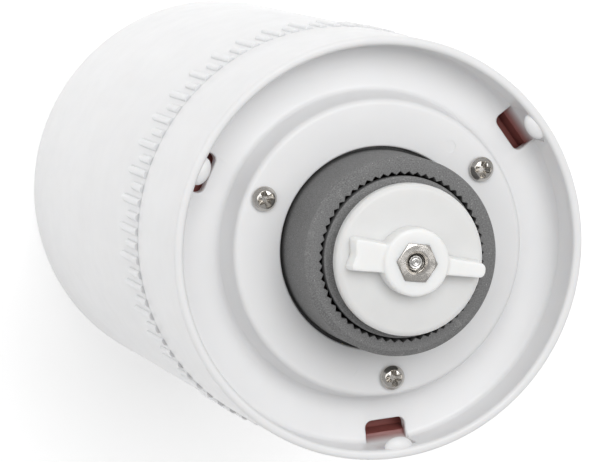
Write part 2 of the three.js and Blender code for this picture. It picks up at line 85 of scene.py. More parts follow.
# painted shade share: where the ramps' feet get painted red-brown bounce light and shade, and where
# the knob's disc gets painted grey shade
PAINTED_SHADE_SHARE = "painted_shade_share"
FIRST_ARM = math.radians(-22.3)  # of the first window, screw and spider arm
ARMS = 3
PAST = 1.0  # how far a cutter goes past what it cuts

Colour = tuple[float, float, float]
Piece = bpy.types.Object
Material = bpy.types.Material
Tree = bpy.types.NodeTree
Node = bpy.types.Node
Socket = bpy.types.NodeSocket
Layers = list[tuple[np.ndarray, float]]  # plans and their heights
log = logging.getLogger("pepper_mill")


class Body(Enum):
    """The CAD bodies that pieces ride on."""

    JAR = "jar"
    DRIVE = "drive"
    HEAD = "head"
    ROTOR = "rotor"
    KNOB = "knob"


class Slot(Enum):
    """The record's material slots."""

    SHELL = "shell"
    KNOB = "knob"
    LINER = "liner"
    CERAMIC = "burr_ceramic"
    HOUSING = "housing"
    ACETAL = "acetal"
    RUBBER = "rubber"
    STEEL = "steel"
    NICKEL = "nickel"


class Join(Enum):
    """How a solid is combined with others."""

    ADD = "UNION"
    CUT = "DIFFERENCE"
    COMMON = "INTERSECT"


# ---- Outlines


@dataclass(frozen=True)
class Corner:
    """A corner of a flat outline.

    In a turned profile `across` is the radius and `along` the height. In a plan they are X and Y.
    """

    across: float
    along: float
    fillet: float = 0.0


@dataclass(frozen=True)
class Extent:
    """How far a CAD node reaches, in millimetres."""

    radius: float
    bottom: float
    top: float

    @classmethod
    def of(cls, node: str) -> "Extent":
        """Measures a CAD node.

        Args:
            node: the node's name.

        Returns:
            Its reach along X, its lowest and its highest point.
        """
        low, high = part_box(node)
        return cls(high.x / MM, low.z / MM, high.z / MM)


def rounded(corners: Sequence[Corner], steps: int = 6) -> np.ndarray:
    """Rounds the corners of a closed outline.

    Args:
        corners: the corners in order.
        steps: how many edges each fillet is made of.

    Returns:
        The outline's points, one row each.
    """
    points = []
    for index, corner in enumerate(corners):
        here = np.array((corner.across, corner.along))
        if corner.fillet == 0:
            points.append(here)
            continue
        others = (corners[index - 1], corners[(index + 1) % len(corners)])
        ways = [np.array((other.across, other.along)) - here for other in others]
        back, ahead = (way / np.linalg.norm(way) for way in ways)
        half = math.acos(float(np.clip(back @ ahead, -1, 1))) / 2
        middle = (back + ahead) / np.linalg.norm(back + ahead)
        centre = here + middle * corner.fillet / math.sin(half)
        start, end = (here + way * corner.fillet / math.tan(half) - centre for way in (back, ahead))
        first = math.atan2(start[1], start[0])
        sweep = math.remainder(math.atan2(end[1], end[0]) - first, FULL_TURN)
        for angle in first + sweep * np.linspace(0, 1, steps + 1):
            points.append(centre + corner.fillet * np.array((math.cos(angle), math.sin(angle))))
    return np.array(points)


def regular(sides: int, radius: float, twist: float = 0.0) -> np.ndarray:
    """A regular polygon's corners.

    Args:
        sides: how many.
        radius: from the centre to a corner.
        twist: the first corner's angle, in radians.

    Returns:
        The corners, one row each.
    """
    angles = twist + FULL_TURN * np.arange(sides) / sides
    return radius * np.column_stack((np.cos(angles), np.sin(angles)))


def arm_angles() -> list[float]:
    """The angles of the three arms, windows and screws, in radians."""
    return [FIRST_ARM + FULL_TURN * arm / ARMS for arm in range(ARMS)]


# ---- Solids. Until they are dressed they are in millimetres.


def mesh_object(
    name: str, points: Iterable[Sequence[float]], faces: Iterable[Sequence[int]]
) -> Piece:
    """Makes an object of points and faces.

    Args:
        name: the object's name.
        points: the corners' places.
        faces: the corners of each face, counter-clockwise from outside.

    Returns:
        The object, linked to the scene.
    """
    mesh = bpy.data.meshes.new(name)
    mesh.from_pydata([tuple(point) for point in points], [], [tuple(face) for face in faces])
    piece = bpy.data.objects.new(name, mesh)
    bpy.context.scene.collection.objects.link(piece)
    return piece


def revolved(name: str, outline: np.ndarray, segments: int = WIDE_ROUND) -> Piece:
    """Turns a closed profile about +Z.

    Args:
        name: the solid's name.
        outline: radius and height of each point, the outer side running upwards.
        segments: sides of the full turn.

    Returns:
        The turned solid.
    """
    angles = FULL_TURN * np.arange(segments) / segments
    points: list[tuple[float, float, float]] = []
    rings: list[list[int]] = []
    for radius, height in outline:
        first = len(points)
        if radius < ON_AXIS:
            rings.append([first] * segments)
            points.append((0.0, 0.0, height))
            continue
        rings.append(list(range(first, first + segments)))
        points.extend(zip(radius * np.cos(angles), radius * np.sin(angles), [height] * segments))
    faces = []
    for lower, upper in zip(rings, rings[1:] + rings[:1]):
        for side in range(segments):
            beside = (side + 1) % segments
            face = dict.fromkeys((lower[side], lower[beside], upper[beside], upper[side]))
            if len(face) > 2:
                faces.append(tuple(face))
    return mesh_object(name, points, faces)


def turned(name: str, corners: Sequence[Corner], segments: int = WIDE_ROUND) -> Piece:
    """Turns a profile of rounded corners about +Z; see `rounded` and `revolved`."""
    return revolved(name, rounded(corners), segments)


def lofted(name: str, layers: Layers, turn: float = 0.0) -> Piece:
    """Joins plans at rising heights into a closed solid.

    Args:
        name: the solid's name.
        layers: each plan, counter-clockwise from above, and its height.
        turn: the angle about +Z that the solid is turned by.

    Returns:
        The solid.
    """
    count = len(layers[0][0])
    points = [(across, along, height) for plan, height in layers for across, along in plan]
    faces: list[Sequence[int]] = [range(count - 1, -1, -1), range(len(points) - count, len(points))]
    for base in range(0, len(points) - count, count):
        for side in range(count):
            beside = (side + 1) % count
            faces.append((base + side, base + beside, base + count + beside, base + count + side))
    solid = mesh_object(name, points, faces)
    solid.data.transform(Matrix.Rotation(turn, 4, "Z"))
    return solid


def rounded_box(low: Sequence[float], high: Sequence[float], fillet: float, edge: float) -> Layers:
    """The layers of a box with rounded upright corners and bevelled ends.

    Args:
        low: the lowest corner.
        high: the highest corner.
        fillet: the upright corners' radius.
        edge: the bevel round both ends.

    Returns:
        Layers for `lofted`.
    """
    layers = []
    bottom, top = low[2], high[2]
    for inset, height in ((edge, bottom), (0.0, bottom + edge), (0.0, top - edge), (edge, top)):
        left, right = low[0] + inset, high[0] - inset
        front, back = low[1] + inset, high[1] - inset
        plan = [Corner(left, front), Corner(right, front), Corner(right, back), Corner(left, back)]
        layers.append((rounded([Corner(c.across, c.along, fillet) for c in plan]), height))
    return layers


def square_bar(name: str, width: float, bottom: float, top: float, edge: float = 0.0) -> Piece:
    """An upright square bar on the axis, with its upright edges rounded by `edge`."""
    half = width / 2
    signs = ((-1, -1), (1, -1), (1, 1), (-1, 1))
    outline = rounded([Corner(half * across, half * along, edge) for across, along in signs])
    return lofted(name, [(outline, bottom), (outline, top)])


@dataclass(frozen=True)
class Thread:
    """A screw thread on the axis."""

    core: float
    depth: float
    pitch: float
    bottom: float
    top: float

    def rod(self, name: str, segments: int = 48, steps: int = 10) -> Piece:
        """Makes a closed rod with the thread on it.

        Args:
            name: the rod's name.
            segments: sides of the full turn.
            steps: rows in each pitch.

        Returns:
            The rod.
        """
        rows = math.ceil(steps * (self.top - self.bottom) / self.pitch)
        layers = []
        for height in np.linspace(self.bottom, self.top, rows + 1):
            phase = (height / self.pitch - np.arange(segments) / segments) % 1.0
            crest = 1 - np.abs(2 * phase - 1)
            radius = self.core + self.depth * crest
            angles = FULL_TURN * np.arange(segments) / segments
            plan = np.column_stack((radius * np.cos(angles), radius * np.sin(angles)))
            layers.append((plan, height))
        return lofted(name, layers)


def evaluated(piece: Piece) -> Piece:
    """Turns what a piece's modifiers make into its own plain mesh.

    Args:
        piece: an object with modifiers.

    Returns:
        The same object, without modifiers.
    """
    graph = bpy.context.evaluated_depsgraph_get()
    mesh = bpy.data.meshes.new_from_object(piece.evaluated_get(graph))
    piece.modifiers.clear()
    piece.data = mesh
    return piece


def combined(base: Piece, join: Join, tools: Sequence[Piece]) -> Piece:
    """Adds solids to a solid, cuts them from it or keeps what they share.

    Args:
        base: the solid that is changed.
        join: what happens.
        tools: the other solids, which are used up.

    Returns:
        The base.
    """
    for tool in tools:
        modifier = base.modifiers.new(tool.name, "BOOLEAN")
        modifier.operation = join.value
        modifier.solver = "EXACT"
        modifier.object = tool
    evaluated(base)
    for tool in tools:
        bpy.data.objects.remove(tool)
    return base


def gathered(base: Piece, others: Sequence[Piece]) -> Piece:
    """Puts the meshes of several objects into the first.

    Args:
        base: the object that takes them.
        others: the objects that are used up.

    Returns:
        The base.
    """
    sheet = bmesh.new()
    for piece in (base, *others):
        sheet.from_mesh(piece.data)
    sheet.to_mesh(base.data)
    sheet.free()
    for piece in others:
        bpy.data.objects.remove(piece)
    return base


def moved(piece: Piece, offset: Sequence[float], turn: float = 0.0) -> Piece:
    """Moves a piece's mesh, then turns it about the mill's axis.

    Args:
        piece: the piece.
        offset: the move.
        turn: the angle in radians.

    Returns:
        The same piece.
    """
    piece.data.transform(Matrix.Rotation(turn, 4, "Z") @ Matrix.Translation(offset))
    return piece


def marked(piece: Piece, mark: str, share: Callable[[float, float], float]) -> Piece:
    """Writes a share on each point of a mesh.

    Args:
        piece: the mesh.
        mark: the name of the attribute.
        share: gives the share from a point's radius and height.

    Returns:
        The same piece.
    """
    places = [point.co for point in piece.data.vertices]
    values = [share(math.hypot(place.x, place.y), place.z) for place in places]
    attribute = piece.data.attributes.new(mark, "FLOAT", "POINT")
    attribute.data.foreach_set("value", values)
    return piece


# ---- Node trees


class NodeSketch:
    """Adds nodes to a shader or geometry tree."""

    def __init__(self, tree: Tree) -> None:
        """Works on one tree."""
        self.tree = tree

    def add(self, kind: str, inputs: dict[Any, Any] | None = None, **settings: Any) -> Node:
        """Adds a node.

        Args:
            kind: the node's type.
            inputs: a value or an output socket for each input, by its name or number.
            settings: the node's own properties.

        Returns:
            The node.
        """
        node = self.tree.nodes.new(kind)
        for name, value in settings.items():
            setattr(node, name, value)
        for key, value in (inputs or {}).items():
            if isinstance(value, Socket):
                self.tree.links.new(value, node.inputs[key])
            else:
                node.inputs[key].default_value = value
        return node

    def link(self, start: Socket, end: Socket) -> None:
        """Links an output to an input."""
        self.tree.links.new(start, end)

    def maths(self, operation: str, first: Any, second: Any = 0.0) -> Socket:
        """The result of a Math node."""
        return self.add("ShaderNodeMath", {0: first, 1: second}, operation=operation).outputs[0]

    def vector(self, operation: str, first: Any, **inputs: Any) -> Node:
        """A Vector Math node."""
        named = {0: first, **{key.capitalize(): value for key, value in inputs.items()}}
        return self.add("ShaderNodeVectorMath", named, operation=operation)

    def place(self, stretch: Sequence[float] = (1.0, 1.0, 1.0)) -> Socket:
        """Object coordinates in millimetres, stretched along each axis."""
        coordinates = self.add("ShaderNodeTexCoord").outputs["Object"]
        scale = tuple(share / MM for share in stretch)
        return self.add("ShaderNodeMapping", {"Vector": coordinates, "Scale": scale}).outputs[0]

    def noise(self, place: Any, size: float, detail: float = 2.0) -> Socket:
        """A noise whose features are about `size` millimetres across."""
        inputs = {"Vector": place, "Scale": 1 / size, "Detail": detail}
        return self.add("ShaderNodeTexNoise", inputs).outputs[0]

    def ranged(
        self, value: Any, low: float, high: float, start: float = 0.35, end: float = 0.65
    ) -> Socket:
        """A value from start to end, mapped from low to high and held there."""
        inputs = {"Value": value, "From Min": start, "From Max": end, "To Min": low, "To Max": high}
        return self.add("ShaderNodeMapRange", inputs).outputs[0]

    def mixed(self, factor: Any, first: Any, second: Any) -> Socket:
        """A mix of two colours; a constant colour has four numbers."""
        node = self.add("ShaderNodeMix", {0: factor, 6: first, 7: second}, data_type="RGBA")
        return node.outputs[2]

    def specks(self, place: Any, spacing: float, radius: float, share: float) -> Socket:
        """Scattered specks.

        Args:
            place: the coordinates in millimetres.
            spacing: the size of the cells that may each hold a speck.
            radius: a speck's radius.
            share: the share of cells that hold one.

        Returns:
            1 on a speck and 0 elsewhere.
        """
        cells = self.add("ShaderNodeTexVoronoi", {"Vector": place, "Scale": 1 / spacing})
        near = self.maths("LESS_THAN", cells.outputs["Distance"], radius / spacing)
        red = self.add("ShaderNodeSeparateColor", {0: cells.outputs["Color"]}).outputs[0]
        chosen = self.maths("LESS_THAN", red, share)
        return self.maths("MULTIPLY", near, chosen)

    def bump(self, height: Any, depth: float, strength: float = 1.0) -> Socket:
        """A bumped normal of a height field that is `depth` millimetres deep."""
        inputs = {"Height": height, "Distance": depth * MM, "Strength": strength}
        return self.add("ShaderNodeBump", inputs).outputs[0]


def geometry_tree(name: str, inputs: dict[str, str]) -> tuple[NodeSketch, Node]:
    """Starts a Geometry Nodes tree.

    Args:
        name: the tree's name.
        inputs: the socket type of each input after the geometry, by name.

    Returns:
        The sketch of the tree and its group input.
    """
    tree = bpy.data.node_groups.new(name, "GeometryNodeTree")
    tree.interface.new_socket("Geometry", in_out="OUTPUT", socket_type="NodeSocketGeometry")
    tree.interface.new_socket("Geometry", in_out="INPUT", socket_type="NodeSocketGeometry")
    for socket, kind in inputs.items():
        tree.interface.new_socket(socket, in_out="INPUT", socket_type=kind)
    sketch = NodeSketch(tree)
    return sketch, sketch.add("NodeGroupInput")


def end_tree(sketch: NodeSketch, geometry: Socket, finish: Socket) -> Tree:
    """Ends a Geometry Nodes tree in plain geometry with its finish.

    Args:
        sketch: the tree's sketch.
        geometry: what the tree makes.
        finish: the material's socket.

    Returns:
        The tree.
    """
    real = sketch.add("GeometryNodeRealizeInstances", {0: geometry}).outputs[0]
    covered = {"Geometry": real, "Material": finish}
    dressed_mesh = sketch.add("GeometryNodeSetMaterial", covered).outputs[0]
    sketch.add("NodeGroupOutput", {0: dressed_mesh})
    return sketch.tree


def ring_tree() -> Tree:
    """Repeats the object's own shape round the axis, each copy with a random turn if asked for.

    Returns:
        The tree.
    """
    kinds = {
        "Count": "NodeSocketInt",
        "Radius": "NodeSocketFloat",
        "First Angle": "NodeSocketFloat",
        "Greatest Turn": "NodeSocketFloat",
        "Seed": "NodeSocketInt",
        "Finish": "NodeSocketMaterial",
    }
    sketch, given = geometry_tree("Round the axis", kinds)
    value = given.outputs
    step = sketch.maths("DIVIDE", FULL_TURN, value["Count"])
    index = sketch.add("GeometryNodeInputIndex").outputs[0]
    angle = sketch.maths("ADD", sketch.maths("MULTIPLY", index, step), value["First Angle"])
    seats = {"Vertices": value["Count"], "Radius": value["Radius"]}
    circle = sketch.add("GeometryNodeMeshCircle", seats).outputs[0]
    first = sketch.add("ShaderNodeCombineXYZ", {2: value["First Angle"]}).outputs[0]
    seated = sketch.add("GeometryNodeTransform", {"Geometry": circle, "Rotation": first}).outputs[0]
    chance = {"Max": value["Greatest Turn"], "Seed": value["Seed"], "ID": index}
    turn = sketch.add("FunctionNodeRandomValue", None, data_type="FLOAT")
    for socket in turn.inputs:
        if socket.enabled and socket.name in chance:
            sketch.link(chance[socket.name], socket)
    turned_by = next(socket for socket in turn.outputs if socket.enabled)
    way = sketch.add("ShaderNodeCombineXYZ", {2: sketch.maths("ADD", angle, turned_by)}).outputs[0]
    copies = {"Points": seated, "Instance": value["Geometry"], "Rotation": way}
    placed = sketch.add("GeometryNodeInstanceOnPoints", copies).outputs[0]
    return end_tree(sketch, placed, value["Finish"])


def tooth_tree() -> Tree:
    """Pushes the points of a turned blank outwards into burr teeth.

    Returns:
        The tree.
    """
    kinds = {
        "Teeth": "NodeSocketInt",
        "Depth": "NodeSocketFloat",
        "Lean": "NodeSocketFloat",
        "Finish": "NodeSocketMaterial",
    }
    sketch, given = geometry_tree("Burr teeth", kinds)
    value = given.outputs
    position = sketch.add("GeometryNodeInputPosition").outputs[0]
    place = sketch.add("ShaderNodeSeparateXYZ", {0: position}).outputs
    level = sketch.add("ShaderNodeCombineXYZ", {0: place[0], 1: place[1]}).outputs[0]
    outwards = sketch.vector("NORMALIZE", level)
    angle = sketch.maths("ARCTAN2", place[1], place[0])
    leant = sketch.maths("SUBTRACT", angle, sketch.maths("MULTIPLY", place[2], value["Lean"]))
    teeth = sketch.maths("DIVIDE", sketch.maths("MULTIPLY", leant, value["Teeth"]), FULL_TURN)
    crest = sketch.maths("MULTIPLY", sketch.maths("PINGPONG", teeth, 0.5), 2.0)
    mark = {"Name": TOOTH_SHARE}
    share = sketch.add("GeometryNodeInputNamedAttribute", mark, data_type="FLOAT").outputs[0]
    push = sketch.maths("MULTIPLY", sketch.maths("MULTIPLY", crest, share), value["Depth"])
    offset = sketch.vector("SCALE", outwards.outputs[0], scale=push).outputs[0]
    pushed = {"Geometry": value["Geometry"], "Offset": offset}
    cut = sketch.add("GeometryNodeSetPosition", pushed).outputs[0]
    return end_tree(sketch, cut, value["Finish"])


def coil_tree() -> Tree:
    """Winds a wire into an upright coil.

    Returns:
        The tree.
    """
    kinds = {
        "Turns": "NodeSocketFloat",
        "Radius": "NodeSocketFloat",
        "Rise": "NodeSocketFloat",
        "Bottom": "NodeSocketFloat",
        "Wire Radius": "NodeSocketFloat",
        "Finish": "NodeSocketMaterial",
    }
    sketch, given = geometry_tree("Coil", kinds)
    value = given.outputs
    path = {
        "Resolution": COIL_STEPS,
        "Rotations": value["Turns"],
        "Start Radius": value["Radius"],
        "End Radius": value["Radius"],
        "Height": value["Rise"],
    }
    wire = sketch.add("GeometryNodeCurveSpiral", path).outputs[0]
    round_wire = {"Resolution": WIRE_ROUND, "Radius": value["Wire Radius"]}
    section = sketch.add("GeometryNodeCurvePrimitiveCircle", round_wire)
    swept = {"Curve": wire, "Profile Curve": section.outputs[0], "Fill Caps": True}
    coil = sketch.add("GeometryNodeCurveToMesh", swept).outputs[0]
    lift = sketch.add("ShaderNodeCombineXYZ", {2: value["Bottom"]}).outputs[0]
    raised = sketch.add("GeometryNodeTransform", {"Geometry": coil, "Translation": lift}).outputs[0]
    return end_tree(sketch, raised, value["Finish"])


def grown(piece: Piece, tree: Tree, inputs: dict[str, Any]) -> Piece:
    """Runs a Geometry Nodes tree on a piece and keeps the plain mesh.

    Args:
        piece: the object that the tree works on.
        tree: the tree.
        inputs: the tree's inputs by name.

    Returns:
        The same piece.
    """
    modifier = piece.modifiers.new(tree.name, "NODES")
    modifier.node_group = tree
    sockets = {
        item.name: item.identifier
        for item in tree.interface.items_tree
        if item.item_type == "SOCKET" and item.in_out == "INPUT"
    }
    for name, value in inputs.items():
        modifier[sockets[name]] = value
    return evaluated(piece)


# ---- Finishes


def shade(colour: Colour, share: float = 1.0) -> tuple[float, float, float, float]:
    """A colour with its brightness changed, as a shader takes it."""
    return (*(min(1.0, part * share) for part in colour), 1.0)


@dataclass(frozen=True)
class Finish(ABC):
    """What every finish has."""

    name: str
    colour: Colour
    roughness: float

    @abstractmethod
    def dress(self, sketch: NodeSketch, shader: Node) -> None:
        """Links the finish's nodes to its shader."""

    def vary_gloss(self, sketch: NodeSketch, shader: Node, pattern: Socket, spread: float) -> None:
        """Lets the roughness vary with a pattern, by `spread` either way."""
        low, high = self.roughness - spread, self.roughness + spread
        sketch.link(sketch.ranged(pattern, low, high), shader.inputs["Roughness"])

    def material(self) -> Material:
        """Builds the material.

        Returns:
            The new material.
        """
        material = bpy.data.materials.new(self.name)
        material.use_nodes = True
        self.dress(NodeSketch(material.node_tree), material.node_tree.nodes["Principled BSDF"])
        return material


@dataclass(frozen=True)
class MouldedPlastic(Finish):
    """Injection-moulded plastic: faint flow marks, a fine orange peel and a few dust specks.

    Where points are marked, a painted shade colour is mixed into the tone. It is painted shade and
    bounce light that stand in for light from the parts behind.
    """

    mottle: float = 0.03
    mottle_size: float = 9.0
    gloss_spread: float = 0.05
    peel_size: float = 0.9
    peel_depth: float = 0.004
    # colour and weight of the painted shade
    painted_shade_colour: Colour | None = None
    painted_shade_weight: float = 0.5
    glow: float = 0.0
    glow_depth: float = 1.0
    speck_share: float = 0.0
    speck_colour: Colour = (0.2, 0.18, 0.16)
    speck_spacing: float = 6.0
    speck_radius: float = 0.13

    def dress(self, sketch: NodeSketch, shader: Node) -> None:
        """Links the finish's nodes to its shader.

        Args:
            sketch: the material's sketch.
            shader: its Principled shader.
        """
        place = sketch.place()
        flow = sketch.ranged(sketch.noise(place, self.mottle_size, 3.0), 0.0, 1.0)
        tone = sketch.mixed(flow, shade(self.colour, 1 - self.mottle), shade(self.colour))
        if self.speck_share:
            specks = sketch.specks(place, self.speck_spacing, self.speck_radius, self.speck_share)
            tone = sketch.mixed(specks, tone, shade(self.speck_colour))
        # painted shade: mixes the painted shade colour in where the points are marked
        if self.painted_shade_colour:
            painted_shade = sketch.add("ShaderNodeAttribute", attribute_name=PAINTED_SHADE_SHARE).outputs["Fac"]
            veil = sketch.maths("MULTIPLY", painted_shade, self.painted_shade_weight)
            tone = sketch.mixed(veil, tone, shade(self.painted_shade_colour))
        sketch.link(tone, shader.inputs["Base Color"])
        gloss = sketch.noise(place, self.mottle_size / 3, 2.0)
        self.vary_gloss(sketch, shader, gloss, self.gloss_spread)
        peel = sketch.noise(place, self.peel_size, 2.0)
        sketch.link(sketch.bump(peel, self.peel_depth), shader.inputs["Normal"])
        shader.inputs["IOR"].default_value = 1.45
        shader.inputs["Subsurface Weight"].default_value = self.glow
        shader.inputs["Subsurface Scale"].default_value = self.glow_depth * MM
        shader.inputs["Subsurface Radius"].default_value = (1.0, 0.9, 0.8)


@dataclass(frozen=True)
class SinteredCeramic(Finish):
    """Unglazed ceramic: fine grit, pale specks, dark pores and edges rubbed lighter."""

    grit_size: float = 0.2
    grit_depth: float = 0.03
    grit_tones: tuple[float, float] = (0.55, 1.45)
    cloud_size: float = 6.0
    cloud_tone: float = 1.3
    gloss_spread: float = 0.08
    speck_spacing: float = 0.45
    speck_radius: float = 0.06
    speck_share: float = 0.4
    pale: Colour = (0.4, 0.39, 0.38)
    worn: Colour = (0.26, 0.26, 0.255)
    worn_weight: float = 0.6

    def dress(self, sketch: NodeSketch, shader: Node) -> None:
        """Links the finish's nodes to its shader.

        Args:
            sketch: the material's sketch.
            shader: its Principled shader.
        """
        place = sketch.place()
        grit = sketch.noise(place, self.grit_size, 3.0)
        cloud = sketch.noise(place, self.cloud_size, 3.0)
        dark, light = (shade(self.colour, tone) for tone in self.grit_tones)
        fine = sketch.mixed(sketch.ranged(grit, 0.0, 1.0, 0.3, 0.7), dark, light)
        clouds = sketch.ranged(cloud, 0.0, 0.35)
        tone = sketch.mixed(clouds, fine, shade(self.colour, self.cloud_tone))
        specks = sketch.specks(place, self.speck_spacing, self.speck_radius, self.speck_share)
        speckled = sketch.mixed(specks, tone, shade(self.pale))
        point = sketch.add("ShaderNodeNewGeometry").outputs["Pointiness"]
        sharp = sketch.ranged(point, 0.0, self.worn_weight, 0.56, 0.68)
        edge = sketch.maths("MULTIPLY", sharp, sketch.ranged(grit, 0.1, 1.0))
        sketch.link(sketch.mixed(edge, speckled, shade(self.worn)), shader.inputs["Base Color"])
        self.vary_gloss(sketch, shader, cloud, self.gloss_spread)
        sketch.link(sketch.bump(grit, self.grit_depth, 0.6), shader.inputs["Normal"])
        shader.inputs["IOR"].default_value = 1.6


@dataclass(frozen=True)
class BrightMetal(Finish):
    """Plated or plain metal: hairlines along one direction and a few cloudy patches."""

    hairline: tuple[float, float, float] = (1.0, 1.0, 0.12)
    hairline_size: float = 0.25
    hairline_depth: float = 0.006
    cloud_size: float = 1.6
    cloud_tone: float = 0.86
    haze: float = 0.06

    def dress(self, sketch: NodeSketch, shader: Node) -> None:
        """Links the finish's nodes to its shader.

        Args:
            sketch: the material's sketch.
            shader: its Principled shader.
        """
        cloud = sketch.noise(sketch.place(), self.cloud_size, 3.0)
        dull, bright = shade(self.colour, self.cloud_tone), shade(self.colour)
        tone = sketch.mixed(sketch.ranged(cloud, 0.0, 1.0), dull, bright)
        sketch.link(tone, shader.inputs["Base Color"])
        self.vary_gloss(sketch, shader, cloud, self.haze)
        lines = sketch.noise(sketch.place(self.hairline), self.hairline_size, 2.0)
        sketch.link(sketch.bump(lines, self.hairline_depth, 0.7), shader.inputs["Normal"])
        shader.inputs["Metallic"].default_value = 1.0


@dataclass(frozen=True)
class SoftRubber(Finish):
    """Matt rubber with a pebbled skin."""

    pebble_size: float = 0.35
    pebble_depth: float = 0.03
    bloom_size: float = 5.0
    bloom_tone: float = 1.6
    gloss_spread: float = 0.06

    def dress(self, sketch: NodeSketch, shader: Node) -> None:
        """Links the finish's nodes to its shader.

        Args:
            sketch: the material's sketch.
            shader: its Principled shader.
        """
        place = sketch.place()
        bloom = sketch.noise(place, self.bloom_size, 3.0)
        dark, pale = shade(self.colour), shade(self.colour, self.bloom_tone)
        tone = sketch.mixed(sketch.ranged(bloom, 0.0, 1.0), dark, pale)
        sketch.link(tone, shader.inputs["Base Color"])
        self.vary_gloss(sketch, shader, bloom, self.gloss_spread)
        pebbles = sketch.noise(place, self.pebble_size, 1.0)
        sketch.link(sketch.bump(pebbles, self.pebble_depth), shader.inputs["Normal"])


SHELL_WHITE = MouldedPlastic(
    "Shell_white",
    (0.81, 0.81, 0.815),
    0.35,
    mottle=0.02,
    peel_depth=0.0025,
    # painted bounce light and shade: the red-brown that the ramps' feet pick up from the spider's
    # drum
    painted_shade_colour=(0.24, 0.075, 0.066),
    painted_shade_weight=1.0,
    glow=0.3,
    glow_depth=1.1,
    speck_share=0.035,
)
MILKY_NYLON = MouldedPlastic(
    "Milky_nylon",
    (0.88, 0.88, 0.87),
    0.38,
    mottle=0.03,
    mottle_size=4.0,
    peel_depth=0.0012,
    # painted shade: the grey laid on the knob's disc
    painted_shade_colour=(0.55, 0.55, 0.55),
    painted_shade_weight=0.42,
    glow=0.45,
    glow_depth=2.0,
)
RED_BROWN = MouldedPlastic(
    "Red_brown_plastic", (0.34, 0.1, 0.085), 0.42, mottle=0.12, mottle_size=5.0, peel_depth=0.008
)
HOUSING_WHITE = MouldedPlastic(
    "Housing_plastic", (0.66, 0.66, 0.64), 0.5, mottle=0.05, peel_depth=0.01
)
IVORY_ACETAL = MouldedPlastic("Ivory_acetal", (0.78, 0.75, 0.66), 0.36, mottle=0.05, glow=0.1)
GREY_CERAMIC = SinteredCeramic("Grey_ceramic", (0.155, 0.155, 0.155), 0.68)
LIGHT_CERAMIC = SinteredCeramic("Light_grey_ceramic", (0.175, 0.175, 0.175), 0.66)
NICKEL_PLATE = BrightMetal("Nickel_plate", (0.74, 0.71, 0.67), 0.2)
SCREW_NICKEL = BrightMetal("Screw_nickel", (0.66, 0.635, 0.6), 0.17)
PLAIN_STEEL = BrightMetal("Plain_steel", (0.6, 0.59, 0.57), 0.21, hairline=(1.0, 1.0, 0.06))
BLACK_RUBBER = SoftRubber("Black_rubber", (0.022, 0.022, 0.022), 0.8)


# ---- Sub-assemblies


class SubAssembly(ABC):
    """A group of pieces that ride on one body."""

    body: Body

    def dressed(
        self,
        piece: Piece,
        material: Material,
        slot: Slot,
        nodes: Sequence[str],
        crease: float = CREASE,
    ) -> Piece:
        """Finishes a mesh and gives it its place in the frame.

        Args:
            piece: the solid, in millimetres.
            material: its finish.
            slot: the record's slot of that finish; not used.
            nodes: the CAD nodes that it stands for.
            crease: the angle from which an edge stays sharp.

        Returns:
            The finished piece.
        """
        piece.data.transform(Matrix.Scale(MM, 4))
        sheet = bmesh.new()
        sheet.from_mesh(piece.data)
        bmesh.ops.remove_doubles(sheet, verts=sheet.verts, dist=WELD)
        bmesh.ops.recalc_face_normals(sheet, faces=sheet.faces)
        sheet.to_mesh(piece.data)
        sheet.free()
        piece.data.shade_smooth()
        piece.data.set_sharp_from_angle(angle=crease)
        piece.data.materials.clear()
        piece.data.materials.append(material)
        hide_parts(*nodes)
        self.fix(piece)
        return piece

    def fix(self, piece: Piece) -> None:
        """Makes a finished piece move with the body."""
        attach(piece, self.body.value)

    @abstractmethod
    def build(self) -> list[Piece]:
        """Builds and dresses the pieces."""


